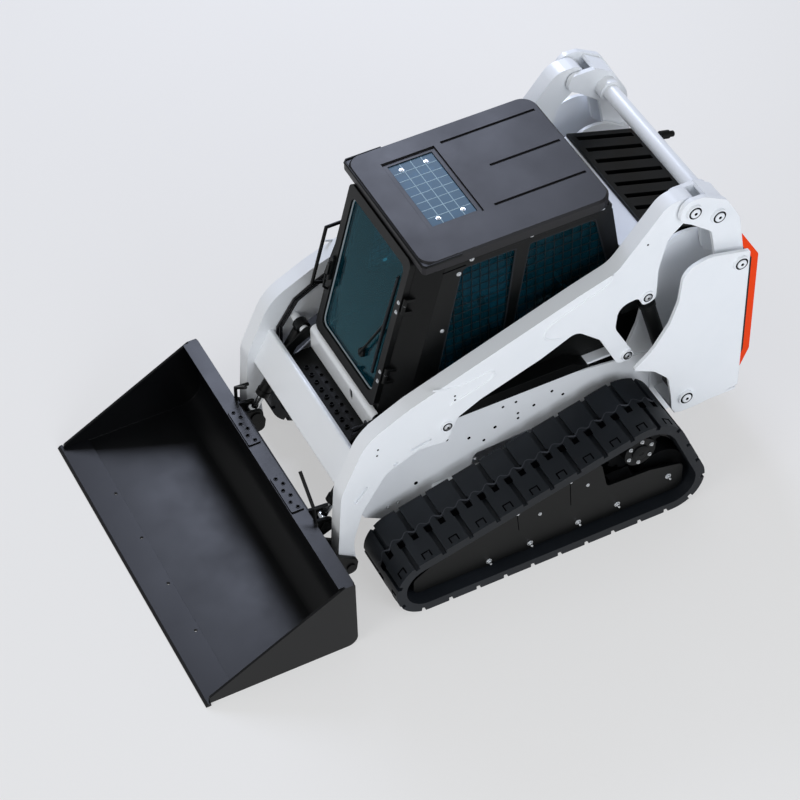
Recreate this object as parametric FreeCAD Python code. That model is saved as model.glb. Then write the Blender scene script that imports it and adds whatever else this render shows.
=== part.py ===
"""Compact track loader with a vertical-lift boom, a toothless bucket and an enclosed cab.

Millimetres. +Z is up, the bucket is towards -Y, and +X is the operator's left hand side.
The origin is on the ground, under the middle of the machine's box.
"""
import FreeCAD
import Part
import math
import os

V = FreeCAD.Vector
os.makedirs("parts", exist_ok=True)

# Running and seating clearances
PIN_CLEAR = 0.3
SEAT_CLEAR = 0.3
MOVE_CLEAR = 10.0

# Overall reach
LIP_Y = -1805.0
TAIL_Y = 1805.0

# Half width of the chassis tub, which the planes across the machine follow
TUB_HALF = 500.0

# Undercarriage
TRACK_IN = TUB_HALF + 90.0
TRACK_WIDTH = 400.0
LUG_HEIGHT = 24.0
LUG_ROWS = 54
LUG_GROOVE = 26.0
POCKET = 40.0
BELT_THICK = 34.0
IDLER_TIP_R = 198.0
IDLER_Y = -462.0
REAR_IDLER_Y = 1040.0
SPROCKET_Y = 858.0
SPROCKET_Z = 492.0
SPROCKET_TIP_R = 250.0
ROLLER_R = 88.0
ROLLER_YS = (-92.0, 159.0, 425.0, 675.0)

# Chassis
TUB_FLOOR_Z = 230.0
TUB_TOP_Z = 846.0
FRONT_WALL_Z = 600.0
TUB_WALL = 10.0
TUB_FRONT_Y = -620.0
TUB_REAR_Y = 1590.0

# Lift linkage: pin centres as (y, z)
LINK_FRAME_PIN = (1525.0, 1460.0)
LINK_BOOM_PIN = (1250.0, 1892.0)
LINK_TUBE = (1402.0, 1800.0)
LIFT_BASE_PIN = (1243.0, 572.0)
LIFT_ROD_PIN = (1024.0, 1350.0)
BOOM_LUG_PIN = (915.0, 970.0)
BUCKET_PIN = (-773.0, 175.0)
TILT_BASE_PIN = (-501.0, 900.0)
TILT_ROD_PIN = (-832.0, 380.0)
PIN_R = 25.0
LINK_TUBE_R = 46.0

# Planes across the machine, for the side at +X
ARM_IN = TUB_HALF + 41.0
ARM_OUT = ARM_IN + 94.0
CHEEK_THICK = 28.0
CHEEK_GAP = 10.0
UPRIGHT_THICK = 20.0
UPRIGHT_OUT = ARM_OUT + 100.0
UPRIGHT_IN = TUB_HALF - 30.0

# Boom cross member
CROSS_BOTTOM = (-762.0, 644.0)
CROSS_TOP = (-655.0, 857.0)
CROSS_DEPTH = 34.0

# Cylinders
LIFT_BORE_R = 42.0
LIFT_ROD_R = 24.0
TILT_X = ARM_IN - 96.0
TILT_BORE_R = 36.0
TILT_ROD_R = 20.0

# Cab
CAB_HALF = TUB_HALF - 60.0
CAB_WALL = 36.0
CAB_FLOOR_Z = 860.0
CAB_TOP_Z = 1912.0
CAB_FRONT_LOW_Y = -440.0
CAB_FRONT_TOP_Y = -176.0
CAB_REAR_Y = 965.0
CAB_REAR_TOP_Y = 899.0
CAB_REAR_BEND_Z = 1500.0
CAB_CHAMFER_X = 92.0
CAB_CHAMFER_Y = 115.0
ROOF_FRONT_Y = CAB_FRONT_TOP_Y - 24.0
ROOF_REAR_Y = CAB_REAR_TOP_Y + 6.0
ROOF_HALF = CAB_HALF + 20.0
ROOF_CORNER = 90.0
ROOF_THICK = 62.0
SKYLIGHT = (-303.0, 207.0, -18.0, 240.0)
DOOR_HALF = CAB_HALF - CAB_CHAMFER_X
DOOR_THICK = 34.0

# Bucket
BUCKET_HALF = 1016.0
LIP_HALF = BUCKET_HALF + 18.0
BUCKET_BACK_Y = -909.0
BUCKET_TOP_Z = 482.0
BUCKET_SHEET = 10.0
END_PLATE = 14.0
EDGE_HOLE_R = 9.0
EDGE_HOLE_Y = -1649.0
EDGE_HOLE_XS = (-550.0, -183.3, 183.3, 550.0)

# Hinges of the cab door and the tailgate
HINGE_R = 12.0
HINGE_PIN_R = 6.0
KNUCKLE = 60.0

# Tail
GATE_HALF = TUB_HALF
GATE_FRONT_Y = 1600.0
GATE_RIM = 42.0
GATE_RIM_SIDE = 40.0
GATE_BOTTOM_Z = 340.0
GATE_CORNER_Z = 1200.0
GATE_TOP_Z = 1453.0


def corner_arc(before, corner, after, radius):
    """Tangent points and middle point of a fillet between two straight runs."""
    u = (before - corner).normalize()
    w = (after - corner).normalize()
    half = math.acos(max(-1.0, min(1.0, u.dot(w)))) / 2.0
    reach = radius / math.tan(half)
    bisector = (u + w).normalize()
    centre = corner + bisector * (radius / math.sin(half))
    return corner + u * reach, centre - bisector * radius, corner + w * reach


def outline(points, place):
    """Closed face from (a, b, radius) corners; place turns (a, b) into a 3-D point."""
    corners = [place(p[0], p[1]) for p in points]
    radii = [p[2] if len(p) > 2 else 0.0 for p in points]
    count = len(corners)
    runs = []
    for i in range(count):
        before, corner, after = corners[i - 1], corners[i], corners[(i + 1) % count]
        if radii[i] > 0:
            runs.append(corner_arc(V(before), V(corner), V(after), radii[i]))
        else:
            runs.append((corner, None, corner))
    edges = []
    for i in range(count):
        start, middle, end = runs[i]
        if middle is not None:
            edges.append(Part.Arc(start, middle, end).toShape())
        following = runs[(i + 1) % count][0]
        if end.distanceToPoint(following) > 1e-6:
            edges.append(Part.LineSegment(end, following).toShape())
    return Part.Face(Part.Wire(edges))


def side_plate(points, x0, x1):
    """Outline given as (y, z, radius), as thick as x0 to x1."""
    face = outline(points, lambda y, z: V(x0, y, z))
    return face.extrude(V(x1 - x0, 0, 0))


def front_plate(points, y0, y1):
    """Outline given as (x, z, radius), as thick as y0 to y1."""
    face = outline(points, lambda x, z: V(x, y0, z))
    return face.extrude(V(0, y1 - y0, 0))


def flat_plate(points, z0, z1):
    """Outline given as (x, y, radius), as thick as z0 to z1."""
    face = outline(points, lambda x, y: V(x, y, z0))
    return face.extrude(V(0, 0, z1 - z0))


def seated(face):
    """The same outline, smaller all round by the seating clearance."""
    return face.makeOffset2D(-SEAT_CLEAR)


def block(x0, x1, y0, y1, z0, z1):
    return Part.makeBox(x1 - x0, y1 - y0, z1 - z0, V(x0, y0, z0))


def cross_rod(centre, radius, x0, x1):
    """Round bar along X at centre (y, z)."""
    return Part.makeCylinder(radius, x1 - x0, V(x0, centre[0], centre[1]), V(1, 0, 0))


def bar(start, end, radius):
    """Round bar between two 3-D points."""
    run = end - start
    return Part.makeCylinder(radius, run.Length, start, run)


def capsule(start, end, half):
    """Outline (a, b, radius) of a slot with round ends, half as wide on each side of its middle line."""
    length = math.hypot(end[0] - start[0], end[1] - start[1])
    run = ((end[0] - start[0]) / length * half, (end[1] - start[1]) / length * half)
    return [
        (start[0] - run[0] - run[1], start[1] - run[1] + run[0], half * 0.99),
        (start[0] - run[0] + run[1], start[1] - run[1] - run[0], half * 0.99),
        (end[0] + run[0] + run[1], end[1] + run[1] - run[0], half * 0.99),
        (end[0] + run[0] - run[1], end[1] + run[1] + run[0], half * 0.99),
    ]


def tube(x, points, radius):
    """Bent round tube through points (y, z) in one plane across X."""
    pieces = [bar(at_x(x, a), at_x(x, b), radius) for a, b in zip(points, points[1:])]
    pieces += [Part.makeSphere(radius, at_x(x, p)) for p in points[1:-1]]
    return fuse(*pieces)


def fuse(*shapes):
    whole = shapes[0]
    for shape in shapes[1:]:
        whole = whole.fuse(shape)
    return whole.removeSplitter()


def mirror(shape):
    return shape.mirror(V(0, 0, 0), V(1, 0, 0))


def both_sides(shape):
    return Part.makeCompound([shape, mirror(shape)])


def write(name, shape):
    shape.exportStep("parts/" + name + ".step")


def write_pair(name, shape):
    write(name + "_left", shape)
    write(name + "_right", mirror(shape))


def along(start, end, distance):
    """Point (y, z) at a distance from start towards end."""
    length = math.hypot(end[0] - start[0], end[1] - start[1])
    share = distance / length
    return (start[0] + (end[0] - start[0]) * share, start[1] + (end[1] - start[1]) * share)


def at_x(x, point):
    return V(x, point[0], point[1])


# Tracks

TRACK_OUT = TRACK_IN + TRACK_WIDTH
TRACK_WHEELS = (
    # y, z, radius of the loop at the lugs' tips
    (IDLER_Y, IDLER_TIP_R, IDLER_TIP_R),
    (REAR_IDLER_Y, IDLER_TIP_R, IDLER_TIP_R),
    (SPROCKET_Y, SPROCKET_Z, SPROCKET_TIP_R),
)


TRACK_MID = (TRACK_IN + TRACK_OUT) / 2


def loop_face(inset, x):
    """Belt loop round the three wheels, drawn inset from the lugs' tips."""
    wheels = [(y, z, radius - inset) for y, z, radius in TRACK_WHEELS]
    tangents = []
    for i in range(3):
        y0, z0, r0 = wheels[i]
        y1, z1, r1 = wheels[(i + 1) % 3]
        distance = math.hypot(y1 - y0, z1 - z0)
        heading = math.atan2(z1 - z0, y1 - y0)
        normal = heading - math.pi / 2 - math.asin((r1 - r0) / distance)
        out = (math.cos(normal), math.sin(normal))
        tangents.append((V(x, y0 + r0 * out[0], z0 + r0 * out[1]),
                         V(x, y1 + r1 * out[0], z1 + r1 * out[1]), normal))
    edges = []
    for i in range(3):
        start, end, normal = tangents[i]
        next_normal = tangents[(i + 1) % 3][2]
        while next_normal < normal:
            next_normal += 2 * math.pi
        edges.append(Part.LineSegment(start, end).toShape())
        y, z, radius = wheels[(i + 1) % 3]
        middle_angle = (normal + next_normal) / 2
        middle = V(x, y + radius * math.cos(middle_angle), z + radius * math.sin(middle_angle))
        edges.append(Part.Arc(end, middle, tangents[(i + 1) % 3][0]).toShape())
    return Part.Face(Part.Wire(edges))


def loop_place(distance):
    """Point and outward direction on the lugs' tips, at a distance along the loop."""
    edges = loop_face(0.0, TRACK_IN).OuterWire.OrderedEdges
    for edge in edges:
        if distance <= edge.Length:
            at = edge.getParameterByLength(distance)
            point = edge.valueAt(at)
            along_edge = edge.tangentAt(at)
            out = V(0, along_edge.z, -along_edge.y)
            centre = V(TRACK_IN, (IDLER_Y + REAR_IDLER_Y) / 2, (IDLER_TIP_R + SPROCKET_Z) / 2)
            if out.dot(point - centre) < 0:
                out = out * -1.0
            return point, out, along_edge
        distance -= edge.Length
    return None


def lug_gap(distance, width, x0, x1, depth):
    """A cutter across the lugs, square to the loop at a distance along it."""
    point, out, along_edge = loop_place(distance)
    corner = point + out * 8 - along_edge * (width / 2)
    corners = [corner, corner + along_edge * width, corner + along_edge * width - out * (8 + depth),
               corner - out * (8 + depth)]
    wire = Part.makePolygon([V(x0, c.y, c.z) for c in corners] + [V(x0, corners[0].y, corners[0].z)])
    return Part.Face(wire).extrude(V(x1 - x0, 0, 0))


def make_track():
    """Rubber belt with two staggered rows of lugs and square pockets between the rows."""
    outer = loop_face(0.0, TRACK_IN).extrude(V(TRACK_WIDTH, 0, 0))
    inner = loop_face(LUG_HEIGHT + BELT_THICK, TRACK_IN - 1).extrude(V(TRACK_WIDTH + 2, 0, 0))
    belt = outer.cut(inner)
    step = loop_face(0.0, TRACK_IN).OuterWire.Length / LUG_ROWS
    low = TRACK_MID - POCKET / 2
    high = TRACK_MID + POCKET / 2
    gaps = []
    for n in range(LUG_ROWS):
        distance = (n + 0.5) * step
        if n % 2:
            gaps.append(lug_gap(distance, LUG_GROOVE, high, TRACK_OUT + 1, LUG_HEIGHT))
            gaps.append(lug_gap(distance, POCKET, low + 12, high + 14, LUG_HEIGHT))
        else:
            gaps.append(lug_gap(distance, LUG_GROOVE, TRACK_IN - 1, low, LUG_HEIGHT))
            gaps.append(lug_gap(distance, POCKET, low - 14, high - 12, LUG_HEIGHT))
    return belt.cut(gaps)


track = make_track()
write_pair("track", track)

# Rollers, idlers and drive sprocket inside the loop

WHEEL_SEAT = LUG_HEIGHT + BELT_THICK + SEAT_CLEAR
HUB_REACH = 125.0
FRAME_COVER = 16.0


def wheel(y, z, radius, half, hub_r, hub_half):
    rim = cross_rod((y, z), radius, TRACK_MID - half, TRACK_MID + half)
    hub = cross_rod((y, z), hub_r, TRACK_MID - hub_half, TRACK_MID + hub_half)
    return rim.fuse(hub)


roller_z = WHEEL_SEAT + ROLLER_R
rollers = Part.makeCompound([
    cross_rod((y, roller_z), ROLLER_R, TRACK_MID - HUB_REACH, TRACK_MID + HUB_REACH) for y in ROLLER_YS])
idler_r = IDLER_TIP_R - WHEEL_SEAT
idlers = Part.makeCompound([
    wheel(y, IDLER_TIP_R, idler_r, 55.0, 40.0, HUB_REACH) for y in (IDLER_Y, REAR_IDLER_Y)])


def make_sprocket():
    """Toothed rim with its hub."""
    rim_r = SPROCKET_TIP_R - WHEEL_SEAT
    rim = cross_rod((SPROCKET_Y, SPROCKET_Z), rim_r, TRACK_MID - 30, TRACK_MID + 30)
    notches = []
    for n in range(SPROCKET_TEETH):
        middle = 360.0 * n / SPROCKET_TEETH
        notch = side_plate([(rim_r - 18, -9), (rim_r + 9, -22), (rim_r + 9, 22), (rim_r - 18, 9)],
                           TRACK_MID - 31, TRACK_MID + 31)
        notch.rotate(V(0, 0, 0), V(1, 0, 0), middle)
        notch.translate(V(0, SPROCKET_Y, SPROCKET_Z))
        notches.append(notch)
    hub = cross_rod((SPROCKET_Y, SPROCKET_Z), 95, TRACK_MID - 40, TRACK_MID + HUB_REACH)
    return rim.cut(notches).fuse(hub)


SPROCKET_TEETH = 15
sprocket = make_sprocket()
write("drive_housings", both_sides(cross_rod((SPROCKET_Y, SPROCKET_Z), 110, TUB_HALF + SEAT_CLEAR,
                                             TRACK_MID - 40 - SEAT_CLEAR)))
write("track_rollers", both_sides(rollers))
write("track_idlers", both_sides(idlers))
write("drive_sprockets", both_sides(sprocket))


def make_track_frame():
    """Box beam between idlers, with covers outside and inside and stubs to the hull."""
    cover = [
        (IDLER_Y - 70, 90, 40), (REAR_IDLER_Y + 90, 90, 60), (REAR_IDLER_Y + 90, 280, 40),
        (SPROCKET_Y + 60, 330, 30), (SPROCKET_Y - 210, 340, 30), (SPROCKET_Y - 250, 545, 30),
        (IDLER_Y + 30, 262, 60), (IDLER_Y - 70, 200, 40),
    ]
    reach = HUB_REACH + SEAT_CLEAR
    outer = side_plate(cover, TRACK_MID + reach, TRACK_MID + HUB_REACH + FRAME_COVER)
    inner = side_plate(cover, TRACK_MID - HUB_REACH - FRAME_COVER, TRACK_MID - reach)
    top = side_plate([
        (IDLER_Y + 190, 258), (SPROCKET_Y - 230, 290), (SPROCKET_Y - 230, 420), (IDLER_Y + 190, 300),
    ], TRACK_MID - reach - 1, TRACK_MID + reach + 1)
    return fuse(outer, inner, top)


track_frame = make_track_frame()
write_pair("track_frame", track_frame)

# Chassis tub


SIDE_OPENINGS = (
    [(43, 390, 20), (468, 390, 20), (468, 509, 30), (60, 488, 40)],
    [(518, 430, 20), (792, 430, 20), (792, 548, 30), (530, 526, 30)],
)


def make_main_frame():
    side = [
        (TUB_FRONT_Y, 330, 60), (TUB_FRONT_Y + 160, TUB_FLOOR_Z, 80), (TUB_REAR_Y - 190, TUB_FLOOR_Z, 120),
        (TUB_REAR_Y, 330, 60), (TUB_REAR_Y, 700, 10), (870, TUB_TOP_Z - 50, 60), (500, TUB_TOP_Z, 60),
        (-250, TUB_TOP_Z, 60), (TUB_FRONT_Y + 30, FRONT_WALL_Z, 20), (TUB_FRONT_Y, FRONT_WALL_Z, 0),
    ]
    body = side_plate(side, -TUB_HALF, TUB_HALF)
    inner = [
        (TUB_FRONT_Y + TUB_WALL, 330 + TUB_WALL, 50),
        (TUB_FRONT_Y + 160, TUB_FLOOR_Z + TUB_WALL, 70),
        (TUB_REAR_Y - 190, TUB_FLOOR_Z + TUB_WALL, 110),
        (TUB_REAR_Y + 40, 355, 0),
        (TUB_REAR_Y + 40, TUB_TOP_Z + 100, 0),
        (TUB_FRONT_Y + TUB_WALL, TUB_TOP_Z + 100, 0),
    ]
    hollow = side_plate(inner, -TUB_HALF + TUB_WALL, TUB_HALF - TUB_WALL)
    shell = body.cut(hollow)
    rail = side_plate([
        (-200, 300, 20), (930, 300, 20), (930, 380, 20), (-200, 380, 20),
    ], TUB_HALF - 1, TRACK_MID - HUB_REACH - FRAME_COVER - SEAT_CLEAR)
    deck = block(-TUB_HALF, TUB_HALF, -250, CAB_REAR_Y - 20, TUB_TOP_Z - 1, CAB_FLOOR_Z - SEAT_CLEAR)
    frame = fuse(shell, rail, mirror(rail), deck)
    for opening in SIDE_OPENINGS:
        cutter = side_plate(opening, TUB_HALF - TUB_WALL - 1, TUB_HALF + 1)
        frame = frame.cut(cutter).cut(mirror(cutter))
    return frame


main_frame = make_main_frame()

# Uprights that carry the rear links and the lift cylinders

OUTER_PLATE = [
    (1583, 1520, 15), (1325, 1585, 200), (1178, 1545, 110), (1158, 1330, 160), (1110, 1190, 60),
    (1011, 1035, 300), (900, 940, 12), (1035, 868, 60), (1125, 770, 80), (1150, 620, 100),
    (1165, 462, 70), (1330, 462, 60), (1583, 500, 12),
]
INNER_PLATE = [
    (1570, 1440, 40), (1400, 1560, 200), (1190, 1570, 160), (1120, 1300, 200),
    (1060, 1000, 100), (1000, 850, 0), (1000, 700, 0), (1570, 560, 30),
]


def make_upright():
    outer = side_plate(OUTER_PLATE, UPRIGHT_OUT - UPRIGHT_THICK, UPRIGHT_OUT)
    inner = side_plate(INNER_PLATE, UPRIGHT_IN, UPRIGHT_IN + UPRIGHT_THICK)
    back = fuse(
        block(UPRIGHT_IN, UPRIGHT_OUT - 1, 1568, 1583, 720, 1380),
        block(TUB_HALF + SEAT_CLEAR, UPRIGHT_OUT - 1, 1568, 1583, 505, 721),
    )
    boss = cross_rod(LINK_FRAME_PIN, 46, UPRIGHT_OUT - 1, UPRIGHT_OUT + 16)
    low_boss = cross_rod(LIFT_BASE_PIN, 46, UPRIGHT_OUT - 1, UPRIGHT_OUT + 16)
    shelf = block(TUB_HALF + SEAT_CLEAR, UPRIGHT_OUT - 1, 1180, 1570, 470, 486)
    inner_low = block(TUB_HALF + SEAT_CLEAR, TUB_HALF + 18, 1150, 1570, 470, 760)
    shape = fuse(outer, inner, back, boss, low_boss, shelf, inner_low)
    shape = shape.fuse(cross_rod(LINK_FRAME_PIN, PIN_R, UPRIGHT_IN + 2, UPRIGHT_OUT + 16))
    shape = shape.fuse(cross_rod(LIFT_BASE_PIN, PIN_R, TUB_HALF + 2, UPRIGHT_OUT + 16))
    return shape.removeSplitter()


upright = make_upright()
main_frame = main_frame.cut(both_sides(side_plate(
    [(p[0], p[1]) for p in ((1000, 640), (1700, 500), (1700, 1600), (1000, 1600))],
    UPRIGHT_IN - SEAT_CLEAR, UPRIGHT_IN + UPRIGHT_THICK + SEAT_CLEAR)))
write("main_frame", main_frame)

# Boom

ARM_OUTLINE = [
    (-825, 108, 42), (-722, 108, 42), (-738, 330, 300), (-676, 540, 160), (-530, 770, 120),
    (-330, 858, 30), (-170, 838, 30), (-105, 990, 60), (30, 1062, 60), (390, 1190, 60),
    (600, 1290, 70), (745, 1160, 60), (868, 905, 42), (962, 955, 42), (835, 1200, 90), (850, 1352, 80),
    (968, 1366, 30), (1000, 1296, 30), (1078, 1310, 40), (1082, 1520, 100), (1130, 1720, 120),
    (1240, 1815, 30), (1320, 1880, 60), (1250, 1965, 70), (1120, 1965, 120), (830, 1620, 160),
    (600, 1545, 0), (-380, 1190, 300), (-640, 1060, 300), (-795, 720, 200), (-828, 300, 500),
]


ROD_POCKET = [
    (-50, -100, 0), (-50, 25, 10), (-19, 105, 15), (16, 125, 15), (116, 125, 0), (116, -100, 0),
]
ARM_CHEEK = 17.0


def make_boom_arm():
    arm = side_plate(ARM_OUTLINE, ARM_IN, ARM_OUT)
    pocket = side_plate([(LIFT_ROD_PIN[0] + y, LIFT_ROD_PIN[1] + z, r) for y, z, r in ROD_POCKET],
                        ARM_IN + ARM_CHEEK, ARM_OUT - ARM_CHEEK)
    bore = cross_rod(LINK_BOOM_PIN, PIN_R + PIN_CLEAR, ARM_IN - 1, ARM_OUT + 1)
    tip_bore = cross_rod(BUCKET_PIN, PIN_R + PIN_CLEAR, ARM_IN - 1, ARM_OUT + 1)
    slot = side_plate(capsule((-376, 877), (-270, 900), 8), ARM_OUT - 12, ARM_OUT + 1)
    tail = side_plate(capsule((-712, 640), (-652, 716), 13), ARM_OUT - 12, ARM_OUT + 1)
    hole = cross_rod((-472, 817), 14, ARM_OUT - 12, ARM_OUT + 1)
    arm = arm.cut([pocket, bore, tip_bore, slot, tail, hole])
    bosses = [
        cross_rod(LIFT_ROD_PIN, 40, ARM_OUT - 1, ARM_OUT + 8),
        cross_rod(BOOM_LUG_PIN, 34, ARM_OUT - 1, ARM_OUT + 12),
        cross_rod((-171, 960), 34, ARM_OUT - 1, ARM_OUT + 12),
        cross_rod(TILT_BASE_PIN, PIN_R, TILT_X - 46, ARM_IN + 1),
    ]
    return fuse(arm, *bosses)


boom_arm = make_boom_arm()


def make_cross_member():
    """Sloped box plate between the arms, and the tilt cylinders' inner brackets behind it."""
    dy = CROSS_TOP[0] - CROSS_BOTTOM[0]
    dz = CROSS_TOP[1] - CROSS_BOTTOM[1]
    length = math.hypot(dy, dz)
    back = (CROSS_DEPTH * dz / length, -CROSS_DEPTH * dy / length)
    corners = [
        (CROSS_BOTTOM[0], CROSS_BOTTOM[1], 14), (CROSS_BOTTOM[0] + back[0], CROSS_BOTTOM[1] + back[1], 8),
        (CROSS_TOP[0] + back[0], CROSS_TOP[1] + back[1], 8), (CROSS_TOP[0], CROSS_TOP[1], 14),
    ]
    plate = side_plate(corners, -ARM_IN, ARM_IN)
    bracket_points = [
        (TILT_BASE_PIN[0] + 44, TILT_BASE_PIN[1] - 30, 26),
        (TILT_BASE_PIN[0] + 24, TILT_BASE_PIN[1] + 44, 26),
        (CROSS_TOP[0] + back[0] - 4, CROSS_TOP[1] - 20, 0),
        (CROSS_TOP[0] + back[0] - 30, CROSS_TOP[1] - 90, 0),
        (TILT_BASE_PIN[0] - 20, TILT_BASE_PIN[1] - 60, 30),
    ]
    return plate, side_plate(bracket_points, TILT_X - 60, TILT_X - 46).cut(plate)


cross_member, tilt_bracket = make_cross_member()
write_pair("boom_arm", boom_arm)
write("boom_cross_member", cross_member)
write("tilt_brackets", both_sides(tilt_bracket))

# Hard hydraulic lines along the arms' inner faces

LINE_R = 8.0
LINE_RUNS = (
    [(330, 1290), (-241, 1129), (-380, 1062), (-480, 1006), (-586, 849), (-592, 700)],
    [(330, 1314), (-250, 1153), (-394, 1084), (-498, 1022), (-606, 860), (-616, 700)],
)
lines = [tube(ARM_IN - LINE_R - SEAT_CLEAR, run, LINE_R) for run in LINE_RUNS]
write("boom_lines", both_sides(Part.makeCompound(lines)))

# Rear links, joined by the cross tube

CHEEK_OUTLINE = [
    (1165, 1850, 60), (1190, 1975, 70), (1310, 1968, 60), (1450, 1890, 70), (1540, 1730, 150),
    (1585, 1440, 60), (1500, 1385, 55), (1420, 1430, 50), (1370, 1700, 60), (1240, 1806, 30),
]
INNER_CHEEK = [
    (1165, 1850, 50), (1190, 1938, 45), (1330, 1936, 60), (1450, 1868, 70), (1540, 1715, 150),
    (1585, 1440, 60), (1500, 1385, 55), (1420, 1430, 50), (1370, 1700, 60), (1240, 1806, 30),
]
LINK_STRAP = [
    (1340, 1942, 0), (1450, 1874, 70), (1536, 1722, 150), (1573, 1502, 0), (1551, 1498, 0), (1516, 1716, 130),
    (1438, 1856, 60), (1330, 1922, 0),
]
LINK_IN = ARM_IN - CHEEK_GAP - CHEEK_THICK
LINK_OUT = ARM_OUT + CHEEK_GAP + CHEEK_THICK


def make_rear_link():
    outer = side_plate(CHEEK_OUTLINE, LINK_OUT - CHEEK_THICK, LINK_OUT)
    inner = side_plate(INNER_CHEEK, LINK_IN, LINK_IN + CHEEK_THICK)
    strap = side_plate(LINK_STRAP, LINK_IN + 1, LINK_OUT - 1)
    bosses = [
        cross_rod(LINK_BOOM_PIN, 46, LINK_OUT - 1, LINK_OUT + 16),
        cross_rod(LINK_TUBE, 46, LINK_OUT - 1, LINK_OUT + 16),
        cross_rod(LINK_FRAME_PIN, 56, LINK_IN + 1, LINK_OUT - 1),
        cross_rod(LINK_BOOM_PIN, PIN_R, LINK_IN + 1, LINK_OUT + 1),
    ]
    link = fuse(outer, inner, strap, *bosses)
    return link.cut(cross_rod(LINK_FRAME_PIN, PIN_R + PIN_CLEAR, LINK_IN - 1, LINK_OUT + 1))


rear_link = make_rear_link()
link_tube = fuse(
    cross_rod(LINK_TUBE, LINK_TUBE_R, -LINK_IN, LINK_IN),
    cross_rod(LINK_TUBE, 62, LINK_IN - 60, LINK_IN),
    cross_rod(LINK_TUBE, 62, -LINK_IN, -LINK_IN + 60),
)
write_pair("rear_link", rear_link)
write("link_cross_tube", link_tube)

# Cylinders


def make_barrel(x, base, rod_pin, radius, length, eye_half):
    """Barrel with its eye at base and its gland at length from base."""
    start = along(base, rod_pin, 30)
    end = along(base, rod_pin, length)
    gland = along(base, rod_pin, length - 34)
    barrel = fuse(
        bar(at_x(x, start), at_x(x, end), radius),
        bar(at_x(x, gland), at_x(x, end), radius + 5),
        cross_rod(base, PIN_R + 17, x - eye_half, x + eye_half),
    )
    return barrel.cut(cross_rod(base, PIN_R + PIN_CLEAR, x - eye_half - 1, x + eye_half + 1))


def bore_barrel(barrel, x, base, rod_pin, length, rod_r, depth):
    start = along(base, rod_pin, length - depth)
    end = along(base, rod_pin, length + 5)
    return barrel.cut(bar(at_x(x, start), at_x(x, end), rod_r + PIN_CLEAR))


def make_rod(x, base, rod_pin, rod_r, reach_in, eye_half, eye_r):
    """Rod with its round end at rod_pin, reaching reach_in from the base pin."""
    start = along(base, rod_pin, reach_in)
    length = math.hypot(rod_pin[0] - base[0], rod_pin[1] - base[1])
    end = along(base, rod_pin, length - 20)
    return fuse(
        bar(at_x(x, start), at_x(x, end), rod_r),
        cross_rod(rod_pin, eye_r, x - eye_half, x + eye_half),
    )


LIFT_X = (ARM_IN + ARM_OUT) / 2
LIFT_BARREL = 722.0
LIFT_EYE_HALF = 29.0
lift_barrel = make_barrel(LIFT_X, LIFT_BASE_PIN, LIFT_ROD_PIN, LIFT_BORE_R, LIFT_BARREL, LIFT_EYE_HALF)
lift_barrel = bore_barrel(lift_barrel, LIFT_X, LIFT_BASE_PIN, LIFT_ROD_PIN, LIFT_BARREL, LIFT_ROD_R, 672)
lift_rod = make_rod(LIFT_X, LIFT_BASE_PIN, LIFT_ROD_PIN, LIFT_ROD_R, 62, LIFT_EYE_HALF, PIN_R + 15)
write_pair("lift_barrel", lift_barrel)
write_pair("lift_rod", lift_rod)

TILT_BARREL = 492.0
TILT_EYE_HALF = 27.0
tilt_barrel = make_barrel(TILT_X, TILT_BASE_PIN, TILT_ROD_PIN, TILT_BORE_R, TILT_BARREL, TILT_EYE_HALF)
tilt_barrel = bore_barrel(tilt_barrel, TILT_X, TILT_BASE_PIN, TILT_ROD_PIN, TILT_BARREL, TILT_ROD_R, 452)
tilt_rod = make_rod(TILT_X, TILT_BASE_PIN, TILT_ROD_PIN, TILT_ROD_R, 108, TILT_EYE_HALF, PIN_R + 9)
write_pair("tilt_barrel", tilt_barrel)
write_pair("tilt_rod", tilt_rod)

# Quick-attach plate

PLATE_TOP_HALF = 520.0
PLATE_FRONT_Y = BUCKET_BACK_Y + SEAT_CLEAR
PLATE_REAR_Y = PLATE_FRONT_Y + 22
PLATE_HALF = 600.0


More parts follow.
